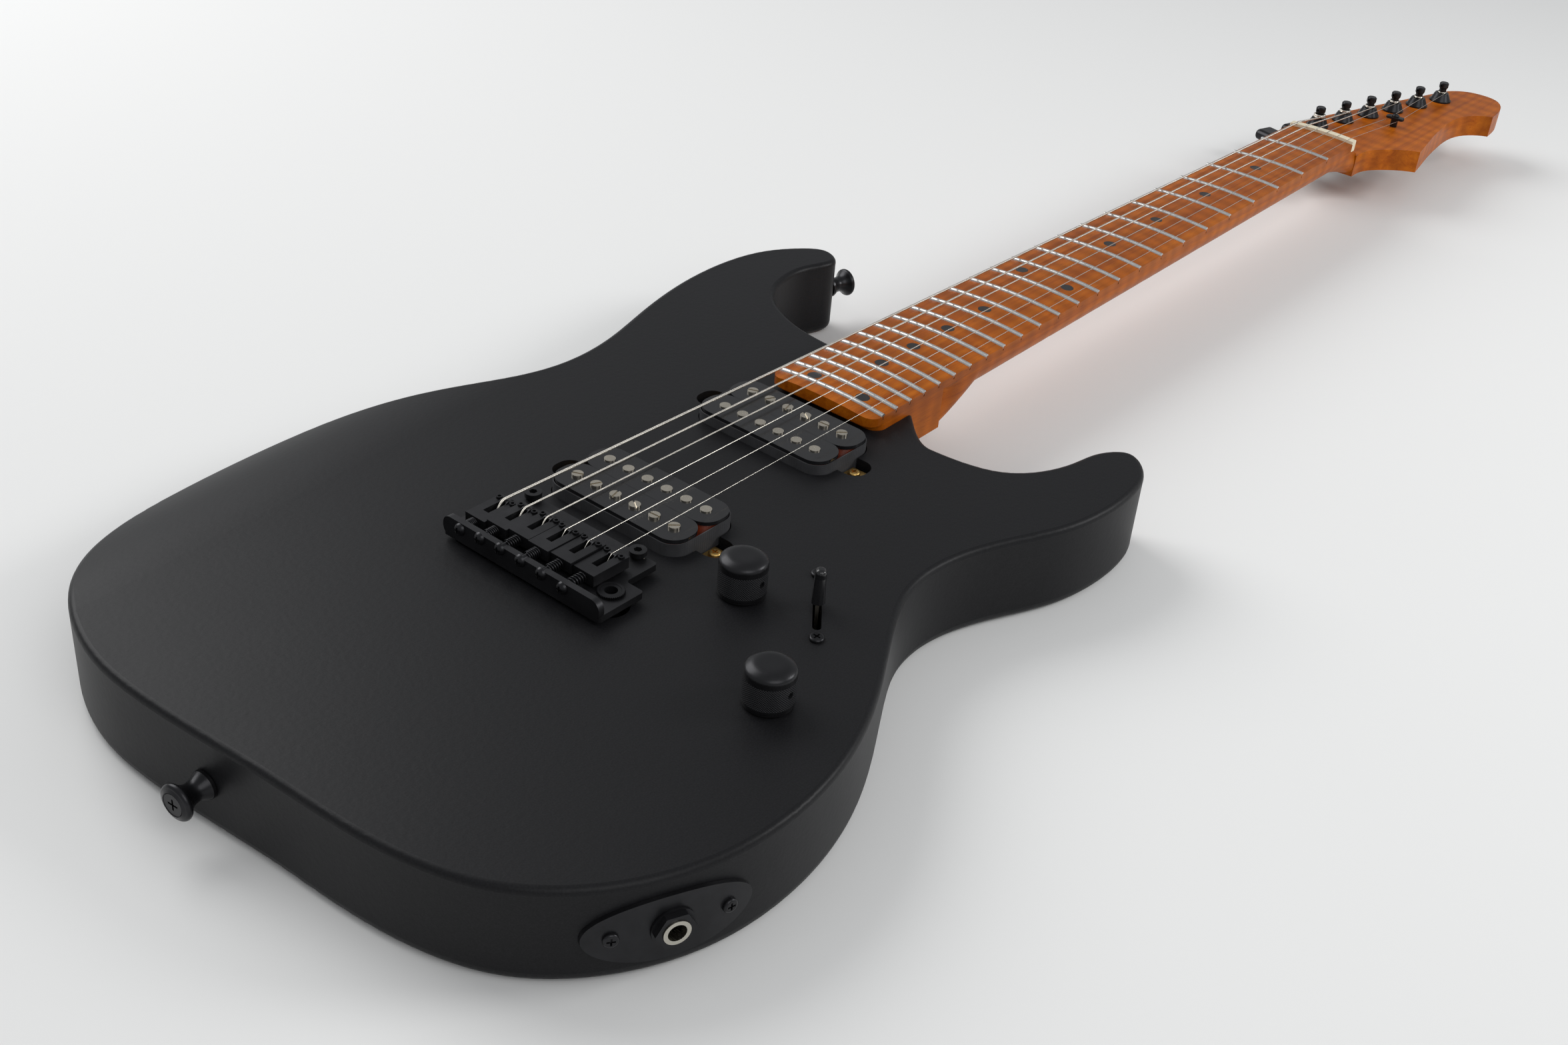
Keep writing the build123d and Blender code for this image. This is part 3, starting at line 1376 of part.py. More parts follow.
# ---------------------------------------------------------------- small screws on the face and side
with BuildPart() as panel_screws:
    for at in switch_screws_at:
        add(screw(wood_screw_radius, top_wall + 3, 2.9, 1.4).moved(Location((at.X, at.Y, top))))
    tree_screw = screw(wood_screw_radius, tree_rise + tree_thickness + tree_grip, 2.3, 1.2)
    add(tree_screw.moved(Location((*tree_at, tree_bottom + tree_thickness))))
    for plane in jack_screw_planes:
        jack_screw = screw(wood_screw_radius, wood_screw_length, 2.7, 1.4)
        add(jack_screw.moved(plane.offset(jack_plate_thickness).location))
finish(panel_screws, "panel_screws")

# ---------------------------------------------------------------- strings
wrap_z = head_face + 7.0
wrap_gap = 0.3
hole_x = block_rear + block_length / 2
drop_angle = 50.0           # strings behind the saddles


def tube(points, radius, bend):
    """Round wire along the points, bent at each with the given radius."""
    with BuildPart() as piece:
        with BuildLine() as path:
            FilletPolyline(*points, radius=bend)
        with BuildSketch(path.line ^ 0):
            Circle(radius)
        sweep(path=path.line)
    return piece.part


def wrap_level(number):
    """Height of a string's lowest turn round its post."""
    return head_face + bushing_height + wrap_gap + gauges[number] / 2


def wrap(number):
    """Turns of a string round its post."""
    radius = gauges[number] / 2
    turns = 2 if radius > wrap_gap else 3
    middle = post_waist_radius + wrap_gap + radius
    with BuildPart() as piece:
        with BuildSketch(Plane.XZ):
            for turn in range(turns):
                with Locations((middle, turn * 1.9 * radius)):
                    Circle(radius)
        revolve(axis=Axis.Z)
    place = tuner_at(number)
    return piece.part.moved(Location((place.X, place.Y, wrap_level(number))))


def string(number):
    radius = gauges[number] / 2
    bend = saddle_crest_radius + radius + running
    bridge_y = string_y(number, bridge_string_pitch)
    nut_y = string_y(number, nut_string_pitch)
    crest_z = string_z(number)
    corner_x = saddle_x(number) + saddle_front - saddle_crest_setback - bend * tan(radians(drop_angle / 2))
    turn_z = crest_z - (corner_x - hole_x) * tan(radians(drop_angle))
    nut_z = board_z(nut_y) + nut_rise
    post = tuner_at(number)
    post_y = post.Y - post_waist_radius - wrap_gap - radius
    points = [
        (hole_x, bridge_y, block_bottom + 9),
        (hole_x, bridge_y, turn_z),
        (corner_x, bridge_y, crest_z),
        (scale_length, nut_y, nut_z),
        (nut_back, nut_y, nut_z),
    ]
    if number >= string_count - 2:
        share = (tree_at[0] - scale_length) / (post.X - scale_length)
        strand_y = nut_y + (post_y - nut_y) * share
        points.append((tree_at[0], strand_y, tree_bottom - radius - strand_gap))
    points.append((post.X, post_y, wrap_level(number) + 0.95 * radius))
    with BuildPart() as piece:
        add(tube(points, radius, bend))
        add(wrap(number))
        with Locations((hole_x, bridge_y, block_bottom + 10)):
            Cylinder(2.0, 3.6)
    return piece.part


with BuildPart() as strings:
    for number in range(string_count):
        add(string(number))
finish(strings, "strings")

# ---------------------------------------------------------------- tuners
gear_z = head_back - housing_depth / 2
post_foot_depth = 9.0       # tuner post inside its housing
button_neck = 6.0           # narrow part of a tuner button
button_shaft_radius = 2.0
button_shaft_inset = 4.0    # post's axis to the button shaft's inner end

tuner_places = [turned(number, head_back).location for number in range(string_count)]

with BuildPart(mode=Mode.PRIVATE) as housing:
    with BuildSketch():
        RectangleRounded(housing_length, housing_width, 3)
    extrude(amount=-housing_depth)
    fillet(housing.edges().group_by(Axis.Z)[0], 1.5)
    Hole(post_radius + running, depth=post_foot_depth + loose)
    with BuildSketch(Plane(origin=(0, button_shaft_inset, -housing_depth / 2), z_dir=(0, 1, 0))):
        Circle(button_shaft_radius + running)
    extrude(amount=housing_width, mode=Mode.SUBTRACT)
with BuildPart() as tuner_housings:
    add(put(housing.part, tuner_places))
finish(tuner_housings, "tuner_housings")

with BuildPart(mode=Mode.PRIVATE) as bushing:
    with Locations((0, 0, head_thickness / 2)):
        Cylinder(sleeve_radius, head_thickness)
    with Locations((0, 0, head_thickness + 0.4)):
        Cylinder(bushing_radius, 0.8)
    with Locations((0, 0, head_thickness + 0.8 + (bushing_height - 0.8) / 2)):
        Cone(bushing_radius - 0.4, post_radius + 1.4, bushing_height - 0.8)
    with Locations((0, 0, head_thickness + bushing_height)):
        Hole(post_radius + running)
with BuildPart() as tuner_bushings:
    add(put(bushing.part, tuner_places))
finish(tuner_bushings, "tuner_bushings")

waist_z = wrap_z - head_back
post_end = head_thickness + post_top
with BuildPart(mode=Mode.PRIVATE) as post:
    with BuildSketch(Plane.XZ):
        with BuildLine():
            Polyline(
                (0, -post_foot_depth),
                (post_radius, -post_foot_depth),
                (post_radius, waist_z - 3.2),
                (post_waist_radius, waist_z - 2.5),
                (post_waist_radius, waist_z + 1.2),
                (post_radius, waist_z + 2.4),
                (post_radius, post_end - 0.6),
                (post_radius - 0.6, post_end),
                (0, post_end),
                close=True,
            )
        make_face()
    revolve(axis=Axis.Z)
    with Locations(Location((0, 0, waist_z + 3.6), (0, 90, 30))):
        Cylinder(0.8, 4 * post_radius, mode=Mode.SUBTRACT)

with BuildPart(mode=Mode.PRIVATE) as button:
    with BuildSketch(Plane.XY.offset(button_reach)):
        RectangleRounded(6.5, 6.5, 3.2)
    with BuildSketch(Plane.XY.offset(button_reach + button_neck)):
        RectangleRounded(button_width, button_thickness, button_thickness / 2 - 0.1)
    loft()
    with BuildSketch(Plane.XY.offset(button_reach + button_neck)):
        RectangleRounded(button_width, button_thickness, button_thickness / 2 - 0.1)
    extrude(amount=button_length - button_neck)
    fillet(button.edges().group_by(Axis.Z)[-1], 2.2)
    with BuildSketch(Plane.XY.offset(button_shaft_inset + loose)):
        Circle(button_shaft_radius)
    extrude(amount=button_reach - button_shaft_inset)

for number, place in enumerate(tuner_places):
    with BuildPart() as tuner_post:
        add(post.part.moved(place))
    finish(tuner_post, f"tuner_post_{number + 1}")
    middle = tuner_at(number)
    button_plane = Plane(origin=(middle.X, middle.Y, gear_z), x_dir=tuner_dir, z_dir=tuner_out)
    with BuildPart() as tuner_button:
        add(button.part.moved(button_plane.location))
    finish(tuner_button, f"tuner_button_{number + 1}")
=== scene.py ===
from math import pi, radians

import bmesh
import bpy
from bpy.props import FloatProperty, FloatVectorProperty, IntProperty, PointerProperty
from mathutils import Matrix, Vector


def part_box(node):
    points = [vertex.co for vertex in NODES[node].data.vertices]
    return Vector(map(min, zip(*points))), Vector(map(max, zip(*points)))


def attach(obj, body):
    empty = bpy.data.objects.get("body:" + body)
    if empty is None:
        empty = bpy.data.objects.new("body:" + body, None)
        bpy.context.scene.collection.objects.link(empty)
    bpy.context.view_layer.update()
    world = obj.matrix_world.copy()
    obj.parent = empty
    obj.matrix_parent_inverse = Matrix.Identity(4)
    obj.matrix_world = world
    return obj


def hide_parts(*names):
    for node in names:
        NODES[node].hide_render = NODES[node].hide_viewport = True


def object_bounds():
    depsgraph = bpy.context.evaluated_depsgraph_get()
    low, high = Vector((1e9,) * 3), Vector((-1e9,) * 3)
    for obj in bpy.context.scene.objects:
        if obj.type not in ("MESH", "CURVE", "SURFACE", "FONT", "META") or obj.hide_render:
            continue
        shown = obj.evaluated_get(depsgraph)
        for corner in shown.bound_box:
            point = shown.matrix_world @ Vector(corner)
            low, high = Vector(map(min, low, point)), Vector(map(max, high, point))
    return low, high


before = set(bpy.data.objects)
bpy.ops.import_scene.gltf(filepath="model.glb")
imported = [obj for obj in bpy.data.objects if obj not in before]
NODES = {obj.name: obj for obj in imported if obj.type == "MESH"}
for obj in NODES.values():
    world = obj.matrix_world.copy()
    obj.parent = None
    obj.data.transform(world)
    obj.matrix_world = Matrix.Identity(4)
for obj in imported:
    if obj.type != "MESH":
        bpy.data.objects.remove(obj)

bl_info = {
    "name": "Electric guitar finishes",
    "version": (1, 0, 0),
    "blender": (4, 5, 0),
    "location": "View3D > Sidebar > Guitar",
    "description": "Finishes and small parts for a solid-body electric guitar with a maple neck",
    "category": "Object",
}

CAD_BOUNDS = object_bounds()
STRINGS = 6
SPRING_APART = 0.002        # gap along Y between two saddle springs, at least
FLOOR_GAP = 0.0002          # floor below the body's back

CAMERA_PLACE = Vector((-0.41614, -0.41289, 0.43070))
CAMERA_AHEAD = Vector((0.67543, 0.50450, -0.53785))
CAMERA_RIGHT = Vector((0.63665, -0.76699, 0.08007))
SENSOR_WIDTH = 36


# ---------------------------------------------------------------- shader building
class Value:
    """One output of a shader node. Arithmetic on it adds Math nodes."""

    def __init__(self, finish, socket):
        self.finish = finish
        self.socket = socket

    def math(self, operation, *terms):
        return self.finish.add("ShaderNodeMath", {"operation": operation}, dict(enumerate(terms)))

    def __add__(self, other):
        return self.math("ADD", self, other)

    __radd__ = __add__

    def __sub__(self, other):
        return self.math("SUBTRACT", self, other)

    def __rsub__(self, other):
        return self.math("SUBTRACT", other, self)

    def __mul__(self, other):
        return self.math("MULTIPLY", self, other)

    __rmul__ = __mul__

    def __gt__(self, other):
        return self.math("GREATER_THAN", self, other)

    def __lt__(self, other):
        return self.math("LESS_THAN", self, other)


class Finish:
    """A material under construction, all of whose nodes come from add()."""

    def __init__(self, name, base=(0.5, 0.5, 0.5), roughness=0.5, **constants):
        self.material = bpy.data.materials.new(name)
        self.material.use_nodes = True
        self.tree = self.material.node_tree
        self.shader = self.tree.nodes["Principled BSDF"]
        self.set("Base Color", (*base, 1) if len(base) == 3 else base)
        self.set("Roughness", roughness)
        for key, value in constants.items():
            self.set(key.replace("_", " ").title().replace("Ior", "IOR"), value)

    def set(self, name, value):
        """Gives the shader's own socket a constant or a link."""
        if isinstance(value, Value):
            self.tree.links.new(value.socket, self.shader.inputs[name])
        else:
            self.shader.inputs[name].default_value = value

    def add(self, kind, settings=None, values=None, output=0):
        node = self.tree.nodes.new(kind)
        for name, value in (settings or {}).items():
            if name == "stops":
                self.set_stops(node.color_ramp, value)
            else:
                setattr(node, name, value)
        for key, value in (values or {}).items():
            if isinstance(value, Value):
                self.tree.links.new(value.socket, node.inputs[key])
            else:
                node.inputs[key].default_value = value
        return Value(self, node.outputs[output])

    def set_stops(self, ramp, stops):
        while len(ramp.elements) < len(stops):
            ramp.elements.new(1)
        for element, (place, colour) in zip(ramp.elements, stops):
            element.position = place
            element.color = (*colour, 1)

    def place(self, scale=(1, 1, 1), shift=(0, 0, 0), turn=(0, 0, 0)):
        """Object coordinates, scaled and turned."""
        spot = self.add("ShaderNodeTexCoord", output="Object")
        return self.add(
            "ShaderNodeMapping", None, {"Vector": spot, "Scale": scale, "Location": shift, "Rotation": turn}
        )

    def noise(self, place, scale, detail=4.0, roughness=0.5, distortion=0.0):
        return self.add(
            "ShaderNodeTexNoise",
            None,
            {
                "Vector": place,
                "Scale": scale,
                "Detail": detail,
                "Roughness": roughness,
                "Distortion": distortion,
            },
        )

    def wave(self, place, scale, distortion=0.0, detail=2.0, along="X"):
        return self.add(
            "ShaderNodeTexWave",
            {"bands_direction": along},
            {"Vector": place, "Scale": scale, "Distortion": distortion, "Detail": detail},
        )

    def ramp(self, factor, *stops):
        return self.add("ShaderNodeValToRGB", {"stops": stops}, {"Fac": factor})

    def tones(self, factor, colour, low, high):
        """The colour made darker or lighter. low and high are each a place on the factor and a share."""
        stops = [(place, [c * share for c in colour]) for place, share in (low, high)]
        return self.ramp(factor, *stops)

    def spread(self, factor, low, high):
        """A value between 0 and 1 spread over low to high."""
        return factor * (high - low) + low

    def mix(self, factor, one, two, blend="MIX"):
        one, two = [c if isinstance(c, Value) else (*c, 1) for c in (one, two)]
        return self.add(
            "ShaderNodeMix", {"data_type": "RGBA", "blend_type": blend}, {0: factor, 6: one, 7: two}, output=2
        )

    def axes(self, place):
        """The three coordinates of a place as separate values."""
        parts = self.add("ShaderNodeSeparateXYZ", None, {"Vector": place}, output=0)
        node = parts.socket.node
        return [Value(self, node.outputs[index]) for index in range(3)]

    def bump(self, height, strength, distance):
        normal = self.add(
            "ShaderNodeBump", None, {"Height": height, "Strength": strength, "Distance": distance}
        )
        self.set("Normal", normal)


def lacquer(look):
    """Satin black lacquer with a faint orange peel and a few soft rubbed patches."""
    made = Finish("satin_lacquer", look.lacquer, 0.42, specular_ior_level=0.17)
    place = made.place()
    peel = made.noise(place, 420, 2)
    rubbed = made.noise(place, 7, 3, 0.6)
    made.set("Roughness", made.spread(rubbed, 0.36, 0.5))
    fleck = made.noise(place, 1600, 2)
    made.set("Base Color", made.tones(fleck, look.lacquer, (0.35, 0.8), (0.75, 1.35)))
    made.bump(peel, 0.12, 0.0004)
    return made.material


def roasted_maple(name, look, gloss, lift):
    """Roasted maple: long grain, cross figure that shimmers, and short dark flecks."""
    light = [c * lift for c in look.maple]
    made = Finish(name, light, gloss, coat_roughness=0.2, specular_ior_level=0.12)
    warp = made.noise(made.place((3, 12, 12)), 2.2, 3, 0.5)
    grain = made.noise(made.place((5, 150, 150)), 1.6, 6, 0.62, 0.4)
    fine = made.noise(made.place((30, 1100, 1100)), 1.4, 3, 0.6)
    figure = made.wave(made.place((1, 0.25, 0.25), turn=(0, 0, radians(8))), 26, 5.5, 3)
    flecks = made.noise(made.place((160, 2400, 2400)), 1.0, 1, 0.4)
    tone = made.ramp(
        grain,
        (0.28, [light[0] * 0.62, light[1] * 0.5, light[2] * 0.42]),
        (0.48, [light[0] * 0.9, light[1] * 0.84, light[2] * 0.8]),
        (0.72, [light[0] * 1.18, light[1] * 1.25, light[2] * 1.3]),
    )
    shimmer = made.spread(figure, 0.86, 1.1) * made.spread(warp, 0.8, 1.2)
    shade = made.add("ShaderNodeCombineColor", None, {0: shimmer, 1: shimmer, 2: shimmer})
    tone = made.mix(1.0, tone, shade, "MULTIPLY")
    tone = made.mix(made.spread(fine, 0.0, 0.28), tone, [light[0] * 0.5, light[1] * 0.36, light[2] * 0.3])
    tone = made.mix((flecks > 0.68) * 0.45, tone, [light[0] * 0.34, light[1] * 0.22, light[2] * 0.16])
    made.set("Base Color", tone)
    made.set("Roughness", made.spread(grain, gloss - 0.06, gloss + 0.1))
    made.set("Coat Weight", 0.02)
    made.bump(fine * 0.6 + grain * 0.4, 0.18, 0.0003)
    return made.material


def steel(name, colour, roughness, lines=(900, 60, 60)):
    """Plated or drawn metal with fine polishing lines and small smudges."""
    made = Finish(name, colour, roughness, metallic=1.0)
    brushed = made.noise(made.place(lines), 3, 3, 0.6)
    smudge = made.noise(made.place(), 90, 3, 0.6)
    made.set("Roughness", made.spread(brushed, roughness - 0.05, roughness + 0.08) + smudge * 0.08)
    made.set("Base Color", made.tones(smudge, colour, (0.3, 0.86), (0.8, 1.0)))
    made.bump(brushed, 0.06, 0.0001)
    return made.material


def black_plate(name, colour, roughness):
    """Black plated hardware: dark metal with a fine cast skin and a slight sheen."""
    made = Finish(name, colour, roughness, metallic=0.75, specular_ior_level=0.5)
    skin = made.noise(made.place(), 1500, 3, 0.6)
    worn = made.noise(made.place(), 60, 4, 0.65)
    made.set("Roughness", made.spread(worn, roughness - 0.08, roughness + 0.12))
    made.set("Base Color", made.tones(worn, colour, (0.35, 0.8), (0.8, 1.4)))
    made.bump(skin, 0.08, 0.0001)
    return made.material


def knurled(look, low, high):
    """Black knob: a diamond knurl round the side, smooth on the dome, with painted highlights on the knurl's
    ridge tops. low and high are its box.
    """
    centre = (low + high) / 2
    radius = (high.x - low.x) / 2
    made = Finish("knurled_knob", look.hardware, 0.34, metallic=0.7)
    x, y, z = made.axes(made.place(shift=(-centre.x, -centre.y, -centre.z)))
    round_way = x.math("ARCTAN2", y, x) * (look.knurls / (2 * pi))
    up = z * (look.knurls / (2 * pi * radius))
    left = (round_way + up).math("PINGPONG", round_way + up, 0.5)
    right = (round_way - up).math("PINGPONG", round_way - up, 0.5)
    ridges = left.math("MINIMUM", left, right)
    band = (z > look.knurl_bottom) * (z < look.knurl_top)
    away = x.math("SQRT", x * x + y * y)
    side = (away > radius - look.knurl_rim) * band
    dust = made.noise(made.place(), 800, 3, 0.6)
    made.set("Roughness", made.spread(dust, 0.28, 0.4) + side * 0.12)
    # Painted highlight and shade: knurl ridge tops are painted up to 2.2 times lighter and the grooves
    # slightly darker, as if lit; the same ridges also drive the bump
    made.set("Base Color", made.tones(ridges * side, look.hardware, (0.0, 0.9), (0.5, 2.2)))
    made.bump(ridges * side, 0.85, 0.0006)
    return made.material


def plastic(name, colour, roughness, grain=900, depth=0.05):
    """Moulded plastic with a fine skin."""
    made = Finish(name, colour, roughness)
    skin = made.noise(made.place(), grain, 3, 0.55)
    cloud = made.noise(made.place(), 45, 3, 0.6)
    made.set("Roughness", made.spread(cloud, roughness * 0.8, roughness * 1.25))
    made.set("Base Color", made.tones(cloud, colour, (0.3, 0.85), (0.8, 1.2)))
    made.bump(skin, depth, 0.0002)
    return made.material


def bone(look):
    """Ivory-coloured nut with faint long streaks."""
    made = Finish("nut_bone", look.nut, 0.38)
    streak = made.noise(made.place((60, 900, 240)), 1.6, 4, 0.6)
    made.set("Base Color", made.tones(streak, look.nut, (0.3, 0.84), (0.7, 1.0)))
    made.set("Roughness", made.spread(streak, 0.3, 0.46))
    made.bump(streak, 0.1, 0.0002)
    return made.material


def cloth_tape(look):
    """Woven black tape round the coils, with a slightly frayed weave."""
    made = Finish("coil_tape", look.tape, 0.78)
    across = made.wave(made.place(), 650, 1.2, 2, "Z")
    along = made.wave(made.place((1, 1, 0)), 500, 1.2, 2, "DIAGONAL")
    weave = across * 0.5 + along * 0.5
    worn = made.noise(made.place(), 120, 4, 0.6)
    made.set("Base Color", made.tones(worn, look.tape, (0.3, 0.72), (0.8, 1.3)))
    made.set("Roughness", made.spread(worn, 0.66, 0.88))
    made.bump(weave * 0.7 + worn * 0.3, 0.35, 0.0003)
    return made.material


def magnet_wire(look):
    """Turns of lacquered copper wire, seen as fine lines round the coil."""
    made = Finish("coil_wire", look.wire, 0.3, coat_roughness=0.15)
    turns = made.wave(made.place(), 2600, 0.6, 1, "Z")
    tint = made.noise(made.place(), 260, 3, 0.6)
    made.set("Base Color", made.tones(tint, look.wire, (0.3, 0.55), (0.75, 1.0)))
    made.set("Coat Weight", 0.4)
    made.bump(turns, 0.5, 0.00012)
    return made.material


def wound_steel(look):
    """Strings: the three bass ones have a round winding, the others are plain."""
    made = Finish("string_steel", look.strings, 0.26, metallic=1.0)
    spot = made.place()
    across = made.axes(spot)[1]
    bass = across > 0.0
    winding = made.wave(spot, 1000, 0.0, 0, "X")
    smudge = made.noise(made.place((20, 300, 300)), 2, 3)
    made.set("Base Color", made.tones(smudge, look.strings, (0.3, 0.82), (0.7, 1.0)))
    made.set("Roughness", made.spread(smudge, 0.2, 0.32) + bass * 0.06)
    made.bump(winding * bass, 0.5, 0.0001)
    return made.material


# ---------------------------------------------------------------- mesh building
def finish_node(names, material):
    """Gives the material to carried-over nodes."""
    for name in names:
        mesh = NODES[name].data
        mesh.materials.clear()
        mesh.materials.append(material)


def finish_piece(work, name, body, material, smooth=True):
    """Turns a bmesh into an object that rides on a body."""
    bmesh.ops.remove_doubles(work, verts=work.verts, dist=1e-6)
    bmesh.ops.recalc_face_normals(work, faces=work.faces)
    for face in work.faces:
        face.smooth = smooth
    mesh = bpy.data.meshes.new(name)
    work.to_mesh(mesh)
    work.free()
    mesh.materials.append(material)
    piece = bpy.data.objects.new(name, mesh)
    bpy.context.scene.collection.objects.link(piece)
    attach(piece, body)
    return piece


def add_coil(work, start, length, radius, wire, turns, sides=8, steps=20):
    """A coil of round wire along +X from the start point."""
    circle = bmesh.ops.create_circle(work, segments=sides, radius=wire / 2)["verts"]
    stand = Matrix.Translation(start + Vector((0, 0, radius))) @ Matrix.Rotation(pi / 2, 4, "X")
    bmesh.ops.transform(work, matrix=stand, verts=circle)
    edges = list({edge for vert in circle for edge in vert.link_edges})
    count = round(turns * steps)
    spun = bmesh.ops.spin(
        work,
        geom=circle + edges,
        cent=start,
        axis=(1, 0, 0),
        dvec=(length / count, 0, 0),
        angle=2 * pi * turns,
        steps=count,
        use_merge=False,
        use_duplicate=False,
    )
    last = [item for item in spun["geom_last"] if isinstance(item, bmesh.types.BMEdge)]
    bmesh.ops.edgeloop_fill(work, edges=edges)
    bmesh.ops.edgeloop_fill(work, edges=last)


def add_disc(work, place, radius, height, segments):
    """A closed disc standing on a placed plane, with a bevelled top edge."""
    circle = bmesh.ops.create_circle(work, cap_ends=True, segments=segments, radius=radius)["verts"]
    raised = bmesh.ops.extrude_face_region(work, geom=list(circle[0].link_faces))
    top = [item for item in raised["geom"] if isinstance(item, bmesh.types.BMVert)]
    bmesh.ops.translate(work, verts=top, vec=(0, 0, height))
    rim = [edge for edge in work.edges if all(vert in top for vert in edge.verts)]
    bevelled = bmesh.ops.bevel(
        work, geom=rim, offset=min(radius, height) * 0.2, segments=2, affect="EDGES", profile=0.5, material=-1
    )
    verts = {vert for vert in (*circle, *bevelled["verts"], *top) if vert.is_valid}
    bmesh.ops.transform(work, matrix=place, verts=list(verts))


# ---------------------------------------------------------------- settings
def colour(name, description, default):
    return FloatVectorProperty(
        name=name, description=description, subtype="COLOR", size=3, min=0, max=1, default=default
    )


def distance(name, description, default):
    return FloatProperty(name=name, description=description, unit="LENGTH", default=default)


def power(name, description, default):
    return FloatProperty(name=name, description=description, unit="POWER", default=default)


class GuitarLook(bpy.types.PropertyGroup):
    """Colours and small sizes of the guitar's finishes."""

    lacquer: colour("Lacquer", "Satin lacquer of the body", (0.0085, 0.0085, 0.0095))
    maple: colour("Maple", "Roasted maple of the neck and fretboard", (0.44, 0.115, 0.005))
    hardware: colour("Hardware", "Black plated bridge, tuners and knobs", (0.022, 0.022, 0.024))
    nut: colour("Nut", "Nut under the strings", (0.78, 0.70, 0.52))
    bobbin: colour("Bobbin", "Pickup bobbins", (0.010, 0.010, 0.011))
    tape: colour("Tape", "Cloth tape round the coils", (0.035, 0.035, 0.038))
    wire: colour("Coil wire", "Lacquered copper wire", (0.42, 0.06, 0.012))
    nickel: colour("Nickel", "Pole pieces and other nickel parts", (0.62, 0.57, 0.48))
    brass: colour("Brass", "Pickup frames and their screws", (0.66, 0.42, 0.14))
    strings: colour("Strings", "String steel", (0.78, 0.74, 0.66))
    frets: colour("Frets", "Fret wire", (0.72, 0.71, 0.69))
    knurls: IntProperty(name="Knurls", description="Knurl ridges round a knob", default=64, min=12, max=200)
    knurl_bottom: distance("Knurl bottom", "Knurl's lower edge from the knob's middle", -0.0062)
    knurl_top: distance("Knurl top", "Knurl's upper edge from the knob's middle", 0.0032)
    knurl_rim: distance("Knurl rim", "Depth from the side that the knurl takes in", 0.0009)
    coil_wire: distance("Spring wire", "Wire of the saddle springs", 0.0006)
    coil_turns: FloatProperty(name="Spring turns", description="Turns of a saddle spring", default=5.5, min=1)


class GuitarStage(bpy.types.PropertyGroup):
    """Floor, lights and camera."""

    floor: colour("Floor", "Plain pale floor", (0.80, 0.80, 0.79))
    floor_size: distance("Floor size", "Side of the floor", 14.0)
    key_power: power("Key light", "Large lamp behind", 22.0)
    fill_power: power("Fill light", "Soft lamp in front", 9.0)
    rim_power: power("Rim light", "Small lamp beyond the rim", 7.0)
    lens: FloatProperty(name="Lens", description="Focal length", default=42.29, unit="CAMERA")


# ---------------------------------------------------------------- operators
class GUITAR_OT_woodwork(bpy.types.Operator):
    """Finish the body, the neck, the fretboard and what is set into it"""

    bl_idname = "guitar.woodwork"
    bl_label = "Woodwork"

    def execute(self, context):
        look = context.scene.guitar_look
        finish_node(["body"], lacquer(look))
        finish_node(["neck"], roasted_maple("maple_neck", look, 0.36, 1.0))
        finish_node(["fretboard"], roasted_maple("maple_fretboard", look, 0.3, 0.88))
        finish_node(["fret_dots"], plastic("black_dot", look.bobbin, 0.3))
        finish_node(["nut"], bone(look))
        finish_node(["frets"], steel("fret_wire", look.frets, 0.24, (60, 900, 60)))
        return {"FINISHED"}


class GUITAR_OT_pickups(bpy.types.Operator):
    """Finish both pickups"""

    bl_idname = "guitar.pickups"
    bl_label = "Pickups"

    def execute(self, context):
        look = context.scene.guitar_look
        bobbin = plastic("bobbin_plastic", look.bobbin, 0.16, 700, 0.03)
        finish_node(["pickup_bobbins"], bobbin)
        finish_node(["pickup_tape"], cloth_tape(look))
        finish_node(["pickup_coils"], magnet_wire(look))
        finish_node(["pickup_magnets"], steel("magnet", (0.16, 0.16, 0.165), 0.6))
        finish_node(["pole_pieces"], steel("pole_nickel", look.nickel, 0.22, (300, 300, 60)))
        finish_node(["pickup_bases", "pickup_mount_screws"], steel("pickup_brass", look.brass, 0.3))
        return {"FINISHED"}


